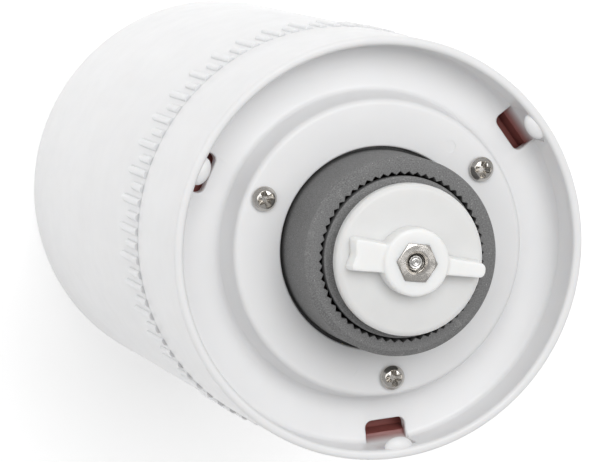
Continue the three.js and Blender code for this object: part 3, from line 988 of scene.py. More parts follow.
@dataclass
class Jar(SubAssembly):
    """The jar that holds the peppercorns, with its grip ribs, its foot and its liner."""

    shell: Extent = field(default_factory=lambda: Extent.of("jar_shell"))
    foot: Extent = field(default_factory=lambda: Extent.of("foot_ring"))
    liner: Extent = field(default_factory=lambda: Extent.of("jar_liner"))
    body: Body = Body.JAR
    wall: float = 2.2
    floor: float = 2.4
    base_fillet: float = 1.6
    mouth_fillet: float = 0.15
    groove_gap: float = 0.3
    groove_roof: float = 0.25
    foot_width: float = 4.4
    foot_fillet: float = 0.45
    foot_grooves: int = 3
    groove_depth: float = 0.18
    liner_wall: float = 1.6
    key_slot: tuple[float, float] = (4.6, 7.6)
    slot_depth: float = 1.2
    rib_count: int = 90
    rib_proud: float = 0.45
    rib_sunk: float = 0.3
    rib_width: float = 1.3
    rib_top_gap: float = 0.15
    rib_point: float = 1.4
    point_steps: tuple[float, ...] = (0.62, 0.32, 0.1, 0.0)
    long_rib: float = 11.4
    short_rib: float = 7.4

    @property
    def radius(self) -> float:
        """The shell's radius under the ribs."""
        return self.shell.radius - self.rib_proud

    def rib(self, length: float) -> Piece:
        """Makes one rib, standing on the wall at the X axis with its top at height 0.

        Args:
            length: from its top to its point.

        Returns:
            The rib, a closed pillow whose back lies inside the wall.
        """
        across = np.linspace(-1, 1, 9)
        arch = np.sqrt(1 - across**2)
        straight = np.linspace(0, length - self.rib_point, 4)
        pointed = length - self.rib_point * np.array(self.point_steps)
        drops = np.concatenate((straight, pointed))
        layers = []
        for drop in drops[::-1]:
            left = (length - drop) / self.rib_point
            taper = math.sqrt(min(1.0, max(left, 0.0)))
            half = max(self.rib_width / 2 * taper, 0.02)
            face = self.radius + self.rib_proud * arch * min(1.0, 0.25 + 0.75 * taper)
            front = np.column_stack((face, across * half))
            back = np.full_like(across, self.radius - self.rib_sunk)
            layers.append((np.vstack((front, np.column_stack((back, across * half))[::-1])), -drop))
        return lofted("rib", layers)

    def ribbed(self, shell: Piece, material: Material) -> Piece:
        """Adds the long and short ribs by turns round the jar's mouth.

        Args:
            shell: the jar's shell.
            material: its finish.

        Returns:
            The shell.
        """
        tree = ring_tree()
        step = FULL_TURN / self.rib_count
        rings = []
        for length, first in ((self.long_rib, 0.0), (self.short_rib, step)):
            rib = moved(self.rib(length), (0, 0, self.shell.top - self.rib_top_gap))
            inputs = {
                "Count": self.rib_count // 2,
                "Radius": 0.0,
                "First Angle": first,
                "Finish": material,
            }
            rings.append(grown(rib, tree, inputs))
        return gathered(shell, rings)

    def make_shell(self) -> Piece:
        """Makes the outer shell, with the groove for the foot ring."""
        low = self.shell.bottom
        inside = self.foot.radius - self.foot_width - self.groove_gap
        outside = self.foot.radius + self.groove_gap
        roof = self.foot.top + self.groove_roof
        corners = [
            Corner(0, low),
            Corner(inside, low, PLAIN_EDGE),
            Corner(inside, roof),
            Corner(outside, roof),
            Corner(outside, low, PLAIN_EDGE),
            Corner(self.radius, low, self.base_fillet),
            Corner(self.radius, self.shell.top, self.mouth_fillet),
            Corner(self.radius - self.wall, self.shell.top, self.mouth_fillet),
            Corner(self.radius - self.wall, low + self.floor, 1.2),
            Corner(0, low + self.floor),
        ]
        return turned("jar_body", corners, 4 * self.rib_count)

    def make_foot(self) -> Piece:
        """Makes the rubber ring under the jar, with turned grooves in its sole."""
        outside = self.foot.radius
        inside = outside - self.foot_width
        step = self.foot_width / (self.foot_grooves + 1)
        corners = [Corner(inside, self.foot.bottom, self.foot_fillet)]
        for groove in range(1, self.foot_grooves + 1):
            middle = inside + groove * step
            corners.append(Corner(middle - 0.3, self.foot.bottom))
            corners.append(Corner(middle, self.foot.bottom + self.groove_depth))
            corners.append(Corner(middle + 0.3, self.foot.bottom))
        corners.append(Corner(outside, self.foot.bottom, self.foot_fillet))
        corners.append(Corner(outside, self.foot.top, 0.2))
        corners.append(Corner(inside, self.foot.top, 0.2))
        return turned("foot_ring_rubber", corners)

    def make_liner(self) -> Piece:
        """Makes the red-brown liner, with its three key slots."""
        outside = self.liner.radius
        inside = outside - self.liner_wall
        corners = [
            Corner(0, self.liner.bottom),
            Corner(outside, self.liner.bottom, 1.0),
            Corner(outside, self.liner.top, PLAIN_EDGE),
            Corner(inside, self.liner.top, EASED_EDGE),
            Corner(inside, self.liner.bottom + self.liner_wall, 2.5),
            Corner(0, self.liner.bottom + self.liner_wall),
        ]
        width, height = self.key_slot
        low = (inside - 1.0, -width / 2, self.liner.top - height)
        high = (inside + self.slot_depth - 0.3, width / 2, self.liner.top + 2.0)
        block = rounded_box(low, high, 0.5, 0.2)
        slots = [lofted("key_slot", block, angle) for angle in arm_angles()]
        return combined(turned("jar_liner_cup", corners), Join.CUT, slots)

    def build(self) -> list[Piece]:
        """Builds and dresses the jar's pieces.

        Returns:
            The pieces.
        """
        white = SHELL_WHITE.material()
        body = self.ribbed(self.make_shell(), white)
        return [
            self.dressed(body, white, Slot.SHELL, ["jar_shell"]),
            self.dressed(self.make_foot(), BLACK_RUBBER.material(), Slot.RUBBER, ["foot_ring"]),
            self.dressed(self.make_liner(), RED_BROWN.material(), Slot.LINER, ["jar_liner"]),
        ]


@dataclass
class Drive(SubAssembly):
    """The spider that plugs into the jar, and the square shaft that it turns."""

    spider: Extent = field(default_factory=lambda: Extent.of("drive_spider"))
    seal: Extent = field(default_factory=lambda: Extent.of("seal_ring"))
    shaft: Extent = field(default_factory=lambda: Extent.of("drive_shaft"))
    clip: Extent = field(default_factory=lambda: Extent.of("shaft_clip"))
    bush: Extent = field(default_factory=lambda: Extent.of("shaft_bush"))
    body: Body = Body.DRIVE
    plug_radius: float = 28.1
    plug_length: float = 12.0
    plug_wall: float = 2.0
    flange: float = 2.0
    flange_radius: float = 30.0
    drum_radius: float = 29.1
    drum_rim: float = 30.15
    drum_wall: float = 1.8
    lip: tuple[float, float, float] = (29.9, 83.3, 84.8)
    shelf_inside: float = 24.0
    shelf: float = 1.6
    seal_radius: float = 0.5
    hub_radius: float = 5.77
    hub_height: float = 10.0
    arm: tuple[float, float] = (3.2, 4.6)
    key: tuple[float, float, float] = (0.9, 4.0, 7.0)
    socket: float = 4.8
    square: float = 4.5
    shoulder: float = 107.45
    thread_core: float = 1.16
    thread_depth: float = 0.24
    thread_pitch: float = 0.5
    cone: tuple[float, float, float] = (5.0, 1.6, 2.0)
    lower_width: float = 5.0
    tip_radius: float = 0.97
    tip_margin: float = 0.2
    tip_rings: tuple[tuple[float, float], ...] = (
        (0.72, 0.0),
        (0.66, 0.03),
        (0.6, 0.0),
        (0.4, 0.0),
        (0.34, 0.03),
        (0.28, 0.0),
        (0.1, 0.04),
        (0.0, 0.05),
    )
    clip_dish: tuple[float, float, float] = (1.4, 0.6, 0.25)
    clip_bevel: tuple[float, float] = (1.2, 0.35)
    bush_radius: float = 4.24
    bush_flange: float = 1.0

    def make_spider(self) -> Piece:
        """Makes the drum, the plug under it and the three arms that carry the hub."""
        bottom, top = self.spider.bottom, self.spider.top
        seat = bottom + self.plug_length
        plug, flange_reach = self.plug_radius, self.flange_radius
        lip_radius, lip_bottom, lip_top = self.lip
        seal_height = (self.seal.bottom + self.seal.top) / 2
        groove = self.seal_radius + 0.3
        drum_inside = self.drum_radius - self.drum_wall
        corners = [
            Corner(plug - self.plug_wall, bottom, PLAIN_EDGE),
            Corner(plug, bottom, EASED_EDGE),
            Corner(plug, seal_height - groove, HAIR_EDGE),
            Corner(plug - 2 * self.seal_radius, seal_height - groove),
            Corner(plug - 2 * self.seal_radius, seal_height + groove),
            Corner(plug, seal_height + groove, HAIR_EDGE),
            Corner(plug, seat),
            Corner(flange_reach, seat, PLAIN_EDGE),
            Corner(flange_reach, seat + self.flange, PLAIN_EDGE),
            Corner(self.drum_radius, seat + self.flange, EASED_EDGE),
            Corner(self.drum_radius, lip_bottom),
            Corner(lip_radius, lip_bottom, FINE_EDGE),
            Corner(lip_radius, lip_top, EASED_EDGE),
            Corner(self.drum_radius, lip_top),
            Corner(self.drum_radius, top - self.shelf, FULL_EDGE),
            Corner(self.drum_rim, top - self.shelf, PLAIN_EDGE),
            Corner(self.drum_rim, top, PLAIN_EDGE),
            Corner(self.shelf_inside, top, PLAIN_EDGE),
            Corner(self.shelf_inside, top - self.shelf, PLAIN_EDGE),
            Corner(drum_inside, top - self.shelf, SOFT_EDGE),
            Corner(drum_inside, seat, SOFT_EDGE),
            Corner(plug - self.plug_wall, seat, EASED_EDGE),
        ]
        drum = turned("spider_drum", corners)
        hub = turned(
            "hub",
            [
                Corner(0, bottom),
                Corner(self.hub_radius, bottom, PLAIN_EDGE),
                Corner(self.hub_radius, bottom + self.hub_height, EASED_EDGE),
                Corner(0, bottom + self.hub_height),
            ],
            SMALL_ROUND,
        )
        width, height = self.arm
        proud, key_width, key_length = self.key
        low = (self.hub_radius - 1.5, -width / 2, bottom)
        high = (plug - self.plug_wall / 2, width / 2, bottom + height)
        key_low = (plug - 1.0, -key_width / 2, seat - 0.25 - key_length)
        key_high = (plug + proud, key_width / 2, seat - 0.25)
        solids = [hub]
        for angle in arm_angles():
            solids.append(lofted("arm", rounded_box(low, high, 0.4, 0.35), angle))
            solids.append(lofted("key", rounded_box(key_low, key_high, 0.35, 0.3), angle))
        whole = combined(drum, Join.ADD, solids)
        bore = square_bar("bore", self.socket, bottom - PAST, bottom + self.hub_height + PAST, 0.2)
        return combined(whole, Join.CUT, [bore])

    def make_seal(self) -> Piece:
        """Makes the rubber ring round the plug."""
        middle = self.seal.radius - self.seal_radius
        height = (self.seal.bottom + self.seal.top) / 2
        section = regular(20, self.seal_radius) + (middle, height)
        return revolved("seal_ring_rubber", section)

    def make_shaft(self) -> Piece:
        """Makes the square shaft with its threaded and turned end."""
        bar = square_bar("mill_shaft", self.square, self.shaft.bottom, self.shoulder, 0.3)
        radius = self.thread_core + self.thread_depth + self.tip_margin
        wide, narrow, length = self.cone
        foot, top = self.shoulder - length, self.shaft.top
        slope = [
            Corner(0, foot),
            Corner(wide, foot),
            Corner(narrow, self.shoulder),
            Corner(0, self.shoulder),
        ]
        lower = square_bar("lower", self.lower_width, self.shaft.bottom, foot)
        trim = gathered(turned("shoulder", slope, SMALL_ROUND), [lower])
        trimmed = combined(bar, Join.COMMON, [trim])
        low = self.shoulder - 1
        thread = Thread(self.thread_core, self.thread_depth, self.thread_pitch, low, top)
        rod = thread.rod("thread")
        chamfered = [
            Corner(0, low),
            Corner(radius, low),
            Corner(radius, top - (radius - self.tip_radius)),
            Corner(self.tip_radius, top, 0.06),
        ]
        rings = [Corner(reach, top - depth) for reach, depth in self.tip_rings]
        end = combined(rod, Join.COMMON, [turned("tip", chamfered + rings, SMALL_ROUND)])
        return combined(trimmed, Join.ADD, [end])

    def make_clip(self) -> Piece:
        """Makes the spring clip under the spider, a dished disc on the square."""
        top, bottom, reach = self.clip.top, self.clip.bottom, self.clip.radius
        inner, outer, rise = self.clip_dish
        inwards, down = self.clip_bevel
        corners = [
            Corner(0, bottom + rise),
            Corner(reach - inner, bottom + rise),
            Corner(reach - outer, bottom, HAIR_EDGE),
            Corner(reach, bottom, HAIR_EDGE),
            Corner(reach, top - down, FINE_EDGE),
            Corner(reach - inwards, top, PLAIN_EDGE),
            Corner(0, top),
        ]
        bore = square_bar("bore", self.square + 0.1, bottom - PAST, top + PAST)
        return combined(turned("shaft_spring_clip", corners, SMALL_ROUND), Join.CUT, [bore])

    def make_bush(self) -> Piece:
        """Makes the bush that turns in the housing's bearing."""
        top, bottom = self.bush.top, self.bush.bottom
        corners = [
            Corner(0, bottom),
            Corner(self.bush_radius, bottom, 0.25),
            Corner(self.bush_radius, top - self.bush_flange),
            Corner(self.bush.radius, top - self.bush_flange, 0.15),
            Corner(self.bush.radius, top, 0.25),
            Corner(0, top),
        ]
        bore = square_bar("bore", self.socket, bottom - PAST, top + PAST, 0.2)
        return combined(turned("shaft_bearing_bush", corners, SMALL_ROUND), Join.CUT, [bore])

    def build(self) -> list[Piece]:
        """Builds and dresses the drive's pieces.

        Returns:
            The pieces.
        """
        steel = PLAIN_STEEL.material()
        return [
            self.dressed(self.make_spider(), RED_BROWN.material(), Slot.LINER, ["drive_spider"]),
            self.dressed(self.make_seal(), BLACK_RUBBER.material(), Slot.RUBBER, ["seal_ring"]),
            self.dressed(self.make_shaft(), steel, Slot.STEEL, ["drive_shaft"]),
            self.dressed(self.make_clip(), steel, Slot.STEEL, ["shaft_clip"]),
            self.dressed(self.make_bush(), IVORY_ACETAL.material(), Slot.ACETAL, ["shaft_bush"]),
        ]


@dataclass
class Head(SubAssembly):
    """The head that is turned by hand, with the stator burr, its housing, rings and screws."""

    shell: Extent = field(default_factory=lambda: Extent.of("head_shell"))
    housing: Extent = field(default_factory=lambda: Extent.of("burr_housing"))
    stator: Extent = field(default_factory=lambda: Extent.of("stator_burr"))
    slip_ring: Extent = field(default_factory=lambda: Extent.of("slip_ring"))
    retainer: Extent = field(default_factory=lambda: Extent.of("retaining_ring"))
    screw: Extent = field(default_factory=lambda: Extent.of("housing_screw_1"))
    body: Body = Body.HEAD
    rim_wall: float = 1.5
    rim_fillet: float = 0.6
    seam_fillet: float = 0.15
    channel_depth: float = 7.2
    channel_floor: float = 1.8
    channel_fillet: float = 0.9
    plateau_foot: float = 23.8
    plateau_edge: float = 22.8
    plateau_drop: float = 1.3
    plateau_fillet: float = 1.0
    plateau_plate: float = 2.0
    plateau_wall: float = 1.1
    hole_radius: float = 15.61
    ledge: tuple[float, float, float] = (30.4, 2.05, 1.4)
    window: tuple[float, float] = (27.5, 6.4)
    window_fillet: float = 1.1
    window_edge: float = 0.25
    slot_depth: float = 0.45
    slot_top: float = 97.5
    catch_centre: tuple[float, float] = (30.85, 98.3)
    catch_size: tuple[float, float, float] = (1.5, 2.2, 0.9)
    ramp: tuple[float, float, float] = (29.7, 91.0, 94.7)
    ramp_foot: tuple[float, float] = (29.1, 88.85)
    # height over which the ramps' painted shade fades out
    ramp_fade: float = 1.3
    mark_radius: float = 0.9
    mark_circle: float = 19.0
    mark_angles: tuple[float, float] = (-124.6, 78.5)
    mark_depth: float = 0.07
    screw_circle: float = 20.0
    screw_head: float = 1.9
    screw_core: float = 0.7
    screw_head_height: float = 1.35
    screw_rise: float = 0.55
    screw_crown: float = 0.12
    screw_flat: float = 0.35
    screw_thread: float = 0.22
    screw_pitch: float = 0.6
    screw_hole: float = 1.0
    recess: tuple[tuple[float, float, float], ...] = (
        (0.2, 0.45, 1.0),
        (0.36, 1.05, 0.5),
        (0.5, 1.38, 0.0),
        (0.54, 1.42, -0.3),
    )
    bearing_bore: float = 4.54
    bearing_radius: float = 6.94
    bearing_height: float = 3.5
    stator_bore: float = 12.4
    stator_teeth: int = 60
    stator_tooth_depth: float = 0.5
    stator_flare: float = 0.9
    stator_radius: float = 15.06
    stator_flange: tuple[float, float] = (93.55, 95.95)
    stator_chamfer: tuple[float, float] = (0.85, 0.7)
    stator_fine: float = 6.6

    @property
    def channel_top(self) -> float:
        """The height of the channel's floor."""
        return self.shell.top - self.channel_depth

    @property
    def plateau_top(self) -> float:
        """The height of the raised centre."""
        return self.shell.top - self.plateau_drop

    def shell_blank(self) -> Piece:
        """Turns the shell: the rim, the channel inside it, the raised centre and the skirt."""
        outside, top, bottom = self.shell.radius, self.shell.top, self.shell.bottom
        inside = outside - self.rim_wall
        under = self.channel_top - self.channel_floor
        plate = self.plateau_top - self.plateau_plate
        ledge_radius, ledge_rise, ledge_height = self.ledge
        corners = [
            Corner(inside, bottom, 0.15),
            Corner(outside, bottom, self.seam_fillet),
            Corner(outside, top, self.rim_fillet),
            Corner(inside, top, self.rim_fillet),
            Corner(inside, self.channel_top, self.channel_fillet),
            Corner(self.plateau_foot, self.channel_top, self.channel_fillet),
            Corner(self.plateau_edge, self.plateau_top, self.plateau_fillet),
            Corner(self.hole_radius, self.plateau_top, PLAIN_EDGE),
            Corner(self.hole_radius, plate, FINE_EDGE),
            Corner(self.plateau_edge - self.plateau_wall, plate, EASED_EDGE),
            Corner(self.plateau_foot - self.plateau_wall, under, EASED_EDGE),
            Corner(inside, under),
            Corner(inside, bottom + ledge_rise + ledge_height),
            Corner(ledge_radius, bottom + ledge_rise + ledge_height, FINE_EDGE),
            Corner(ledge_radius, bottom + ledge_rise, FINE_EDGE),
            Corner(inside, bottom + ledge_rise),
        ]
        return turned("head_shell_white", corners)

    def window_cutter(self, angle: float) -> Piece:
        """Makes the shape of one window in the channel's floor.

        Args:
            angle: the window's angle.

        Returns:
            A block with two rounded corners, flared where it meets the floor.
        """
        inner, width = self.window
        outer = self.shell.radius - self.rim_wall + self.slot_depth
        floor = self.channel_top
        edge = self.window_edge
        turns = np.linspace(0, math.pi / 2, 5)
        curve = [(edge * (1 - math.cos(t)), floor - edge * (1 - math.sin(t))) for t in turns]
        levels = [(0.0, floor - self.channel_floor - 1.0), *curve, (edge, floor + 0.6)]
        layers = []
        for grow, height in levels:
            low, side = inner - grow, width / 2 + grow
            fillet = self.window_fillet + grow
            plan = [
                Corner(low, -side, fillet),
                Corner(outer, -side),
                Corner(outer, side),
                Corner(low, side, fillet),
            ]
            layers.append((rounded(plan), height))
        return lofted("window", layers, angle)

    def slot_cutter(self, angle: float) -> Piece:
        """Makes the shape of the slot that a window runs up in the rim's wall."""
        inside = self.shell.radius - self.rim_wall
        half = self.window[1] / 2
        low = (inside - 1.0, -half, self.channel_top - 0.5)
        high = (inside + self.slot_depth, half, self.slot_top)
        return lofted("slot", rounded_box(low, high, 0.12, 0.2), angle)

    def ramp_wedge(self, angle: float) -> Piece:
        """Makes the hollow ramp that leads from a window's slot inwards to the drum's rim.

        Args:
            angle: the window's angle.

        Returns:
            A wedge as long as the window and a little more.
        """
        reach, low, high = self.ramp
        slot_wall = self.shell.radius - self.rim_wall + self.slot_depth
        outer = slot_wall + 0.5
        turns = np.linspace(0, math.pi / 2, 13)
        wide, deep = slot_wall - reach, high - low
        hollow = [
            (slot_wall - wide * (1 - math.cos(turn)), high - deep * math.sin(turn))
            for turn in turns
        ]
        foot = self.ramp_foot
        profile = np.array([(outer, foot[1]), (outer, high), *hollow, foot])
        half = self.window[1] / 2 + 0.1
        count = len(profile)
        points = [(radius, side, height) for side in (half, -half) for radius, height in profile]
        faces: list[Sequence[int]] = [range(count - 1, -1, -1), range(count, 2 * count)]
        for here in range(count):
            beside = (here + 1) % count
            faces.append((here, beside, count + beside, count + here))
        return moved(mesh_object("ramp", points, faces), (0, 0, 0), angle)

    def catch(self, angle: float) -> Piece:
        """Makes the lens-shaped catch in a window's slot."""
        turns = np.linspace(0, math.pi, 25)
        outline = np.array([(math.sin(turn), -math.cos(turn)) for turn in turns])
        ball = revolved("catch", outline, BALL_ROUND)
        ball.data.transform(Matrix.Diagonal((*self.catch_size, 1.0)))
        radius, height = self.catch_centre
        return moved(ball, (radius, 0, height), angle)

    def screw_holes(self, bottom: float, top: float) -> list[Piece]:
        """Makes the shapes of the three screws' holes.

        Args:
            bottom: the holes' lower end.
            top: their upper end.

        Returns:
            The shapes.
        """
        radius, seat = self.screw_hole, (self.screw_circle, 0, 0)
        hole = [Corner(0, bottom), Corner(radius, bottom), Corner(radius, top), Corner(0, top)]
        return [moved(turned("hole", hole, HOLE_ROUND), seat, angle) for angle in arm_angles()]

    def make_shell(self) -> Piece:
        """Makes the shell with its windows, slots, catches, screw holes and ejector marks."""
        angles = arm_angles()
        cutters = [self.window_cutter(angle) for angle in angles]
        cutters += [self.slot_cutter(angle) for angle in angles]
        face = self.plateau_top
        cutters += self.screw_holes(face - self.plateau_plate - PAST, face + PAST)
        mark = [
            Corner(0, -self.mark_depth),
            Corner(self.mark_radius, -self.mark_depth),
            Corner(self.mark_radius, PAST),
            Corner(0, PAST),
        ]
        for angle in self.mark_angles:
            cutter = turned("ejector_mark", mark, MARK_ROUND)
            cutters.append(moved(cutter, (self.mark_circle, 0, face), math.radians(angle)))
        shell = combined(self.shell_blank(), Join.CUT, cutters)
        ramps = [self.ramp_wedge(angle) for angle in angles]
        whole = combined(shell, Join.ADD, ramps + [self.catch(angle) for angle in angles])
        # paints red-brown bounce light and shade on the ramps' feet
        return marked(whole, PAINTED_SHADE_SHARE, self.ramp_painted_shade)

    def ramp_painted_shade(self, reach: float, height: float) -> float:
        """How much painted red-brown bounce light and shade from the spider's drum falls on the
        ramps' foot.

        Args:
            reach: the point's radius.
            height: its height.

        Returns:
            A share from 0 to 1.
        """
        radius, bottom = self.ramp_foot
        if reach < radius - 0.1 or height < bottom - 0.1:
            return 0.0
        clear = self.ramp[1] + self.ramp_fade
        return min(1.0, max(0.0, (clear - height) / self.ramp_fade))

    def make_housing(self) -> Piece:
        """Makes the housing under the raised centre, with the bearing for the shaft."""
        bottom, top, outside = self.housing.bottom, self.housing.top, self.housing.radius
        bore = self.stator_radius + 0.3
        seat = self.stator_flange[0] - 0.25
        recess = self.stator.radius + 0.3
        corners = [
            Corner(bore, bottom, FULL_EDGE),
            Corner(outside, bottom, EASED_EDGE),
            Corner(outside, top, FULL_EDGE),
            Corner(recess, top, FINE_EDGE),
            Corner(recess, seat),
            Corner(bore, seat, FINE_EDGE),
        ]
        hub = [
            Corner(self.bearing_bore, bottom, FINE_EDGE),
            Corner(self.bearing_radius, bottom, FULL_EDGE),
            Corner(self.bearing_radius, bottom + self.bearing_height, FULL_EDGE),
            Corner(self.bearing_bore, bottom + self.bearing_height, FINE_EDGE),
        ]
        low = (self.bearing_radius - 0.8, -1.6, bottom)
        high = (bore + 0.8, 1.6, bottom + 2.5)
        solids = [turned("bearing", hub, SMALL_ROUND)]
        solids += [lofted("arm", rounded_box(low, high, 0.3, 0.3), angle) for angle in arm_angles()]
        whole = combined(turned("burr_housing_cup", corners), Join.ADD, solids)
        return combined(whole, Join.CUT, self.screw_holes(self.screw.bottom - 0.3, top + PAST))

    def make_stator(self, material: Material) -> Piece:
        """Makes the outer burr, with teeth all round its bore."""
        face, bottom = self.stator.top, self.stator.bottom
        chamfer_in, chamfer_down = self.stator_chamfer
        fine = face - self.stator_fine
        low, high = self.stator_flange
        radius, bore = self.stator_radius, self.stator_bore
        corners = [
            Corner(bore + self.stator_flare, bottom, PLAIN_EDGE),
            Corner(radius, bottom, FULL_EDGE),
            Corner(radius, low),
            Corner(self.stator.radius, low, FINE_EDGE),
            Corner(self.stator.radius, high, FULL_EDGE),
            Corner(radius, high),
            Corner(radius, face - chamfer_down, 0.15),
            Corner(radius - chamfer_in, face, 0.12),
            Corner(bore, face, 0.12),
            Corner(bore, fine, EASED_EDGE),
        ]
        blank = turned("stator_burr_ceramic", corners, 8 * self.stator_teeth)
        toothed = min(bore + self.stator_flare + 0.45, radius - 1.7)
        marked(blank, TOOTH_SHARE, lambda reach, height: float(reach < toothed))
        inputs = {
            "Teeth": self.stator_teeth,
            "Depth": self.stator_tooth_depth,
            "Lean": 0.0,
            "Finish": material,
        }
        return grown(blank, tooth_tree(), inputs)

    def make_ring(self, name: str, extent: Extent, width: float, fillet: float) -> Piece:
        """Makes a flat ring where a CAD ring is.

        Args:
            name: the ring's name.
            extent: the CAD ring's reach.
            width: from its inside to its outside.
            fillet: the radius of its edges.

        Returns:
            The ring.
        """
        bottom, top, outside = extent.bottom, extent.top, extent.radius
        inside = outside - width
        plan = ((inside, bottom), (outside, bottom), (outside, top), (inside, top))
        return turned(name, [Corner(across, along, fillet) for across, along in plan])

    def screw_blank(self) -> Piece:
        """Makes one upright screw: a pan head with a deep cross recess on a threaded shank."""
        top = self.screw.top
        under = top - self.screw_head_height
        tip = self.screw.bottom
        head = turned(
            "housing_screws",
            [
                Corner(0, under),
                Corner(self.screw_head, under, HAIR_EDGE),
                Corner(self.screw_head, under + self.screw_rise, PLAIN_EDGE),
                Corner(self.screw_head - self.screw_rise, top - self.screw_crown, 0.7),
                Corner(self.screw_flat, top),
                Corner(0, top),
            ],
            SMALL_ROUND,
        )
        arms = []
        for turn in (0.0, math.pi / 2):
            layers = []
            for side, end, drop in self.recess:
                plan = ((-end, -side), (end, -side), (end, side), (-end, side))
                layers.append((rounded([Corner(x, y, 0.12) for x, y in plan], 3), top - drop))
            arms.append(lofted("recess", layers, turn))
        core, depth = self.screw_core, self.screw_thread
        thread = Thread(core - depth, depth, self.screw_pitch, tip + 0.8, under + 0.2)
        taper = [Corner(0, tip), Corner(core - 0.25, tip + 1.0), Corner(0, tip + 1.0)]
        point = turned("point", taper, HOLE_ROUND)
        shank = combined(thread.rod("shank", HOLE_ROUND, 8), Join.ADD, [point])
        return gathered(combined(head, Join.CUT, arms), [shank])

    def make_screws(self, material: Material) -> Piece:
        """Sets the three screws round the raised centre, each turned as it was driven in."""
        inputs = {
            "Count": ARMS,
            "Radius": self.screw_circle,
            "First Angle": FIRST_ARM,
            "Greatest Turn": math.pi / 2,
            "Seed": 5,
            "Finish": material,
        }
        return grown(self.screw_blank(), ring_tree(), inputs)

    def build(self) -> list[Piece]:
        """Builds and dresses the head's pieces.

        Returns:
            The pieces.
        """
        ceramic, nickel = GREY_CERAMIC.material(), SCREW_NICKEL.material()
        plastic = HOUSING_WHITE.material()
        slip = self.make_ring("slip_ring_acetal", self.slip_ring, 2.0, 0.3)
        retainer = self.make_ring("retaining_ring_steel", self.retainer, 1.35, 0.3)
        screws = [f"housing_screw_{number + 1}" for number in range(ARMS)]
        return [
            self.dressed(self.make_shell(), SHELL_WHITE.material(), Slot.SHELL, ["head_shell"]),
            self.dressed(self.make_housing(), plastic, Slot.HOUSING, ["burr_housing"]),
            self.dressed(self.make_stator(ceramic), ceramic, Slot.CERAMIC, ["stator_burr"]),
            self.dressed(slip, IVORY_ACETAL.material(), Slot.ACETAL, ["slip_ring"]),
            self.dressed(retainer, PLAIN_STEEL.material(), Slot.STEEL, ["retaining_ring"]),
            self.dressed(self.make_screws(nickel), nickel, Slot.NICKEL, screws),
        ]


@dataclass
class Rotor(SubAssembly):
    """The inner burr, the core that keys it to the shaft, and the spring under it."""

    burr: Extent = field(default_factory=lambda: Extent.of("rotor_burr"))
    core: Extent = field(default_factory=lambda: Extent.of("rotor_core"))
    spring: Extent = field(default_factory=lambda: Extent.of("compression_spring"))
    body: Body = Body.ROTOR
    land: float = 1.6
    boss: float = 1.5
    boss_inset: float = 1.6
    teeth: int = 20
    tooth_depth: float = 0.8
    lean: float = 0.035
    bore_radius: float = 7.38
    lower_radius: float = 9.38
    pocket_radius: float = 4.68
    pocket_depth: float = 4.75
    socket: float = 4.8
    spring_radius: float = 3.93
    spring_wire: float = 0.45
    spring_turns: float = 5.0
    core_edge: float = 0.25

    def make_burr(self, material: Material) -> Piece:
        """Makes the inner burr: a smooth land over leaning teeth, on a hexagonal bore."""
        top, bottom, radius = self.burr.top, self.burr.bottom, self.burr.radius
        face = top - self.boss
        land = face - self.land
        lower = self.lower_radius - self.tooth_depth
        corners = [
            Corner(0, bottom),
            Corner(lower, bottom, HAIR_EDGE),
            Corner(radius - self.tooth_depth, land, HAIR_EDGE),
            Corner(radius, land + 0.05, FINE_EDGE),
            Corner(radius, face, 0.18),
            Corner(radius - self.boss_inset, face, FULL_EDGE),
            Corner(radius - self.boss_inset, top, FINE_EDGE),
            Corner(0, top),
        ]
        blank = turned("rotor_burr_ceramic", corners, 12 * self.teeth)
        inner, upper = lower - 0.2, land - 0.02
        marked(blank, TOOTH_SHARE, lambda reach, height: float(reach > inner and height < upper))
        inputs = {
            "Teeth": self.teeth,
            "Depth": self.tooth_depth,
            "Lean": self.lean,
            "Finish": material,
        }
        toothed = grown(blank, tooth_tree(), inputs)
        plan = regular(6, self.bore_radius)
        bore = lofted("bore", [(plan, bottom - PAST), (plan, top + PAST)])
        return combined(toothed, Join.CUT, [bore])

    def make_core(self) -> Piece:
        """Makes the hexagonal core, with a square socket and a pocket for the spring."""
        bottom, top, edge = self.core.bottom, self.core.top, self.core_edge
        levels = ((edge, bottom), (0.0, bottom + edge), (0.0, top - edge), (edge, top))
        sides = [(regular(6, self.core.radius - inset), height) for inset, height in levels]
        pocket = [
            Corner(0, bottom - PAST),
            Corner(self.pocket_radius, bottom - PAST),
            Corner(self.pocket_radius, bottom + self.pocket_depth, PLAIN_EDGE),
            Corner(0, bottom + self.pocket_depth),
        ]
        cutters = [
            turned("pocket", pocket, SMALL_ROUND),
            square_bar("socket", self.socket, bottom - PAST, top + PAST, 0.2),
        ]
        return combined(lofted("rotor_core_plastic", sides), Join.CUT, cutters)

    def make_spring(self, material: Material) -> Piece:
        """Winds the compression spring."""
        rise = self.spring.top - self.spring.bottom - 2 * self.spring_wire
        inputs = {
            "Turns": self.spring_turns,
            "Radius": self.spring_radius,
            "Rise": rise,
            "Bottom": self.spring.bottom + self.spring_wire,
            "Wire Radius": self.spring_wire,
            "Finish": material,
        }
        return grown(mesh_object("burr_spring", [], []), coil_tree(), inputs)

    def fix(self, piece: Piece) -> None:
        """Makes a piece ride on the rotor; the spring, which reaches from the drive to it, is left
        unattached with its place baked in.
        """
        if piece.name != "burr_spring":
            super().fix(piece)
            return
        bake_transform(piece)

    def build(self) -> list[Piece]:
        """Builds and dresses the rotor's pieces.

        Returns:
            The pieces.
        """
        ceramic, steel = LIGHT_CERAMIC.material(), PLAIN_STEEL.material()
        return [
            self.dressed(self.make_burr(ceramic), ceramic, Slot.CERAMIC, ["rotor_burr"]),
            self.dressed(self.make_core(), HOUSING_WHITE.material(), Slot.HOUSING, ["rotor_core"]),
            self.dressed(self.make_spring(steel), steel, Slot.STEEL, ["compression_spring"]),
        ]


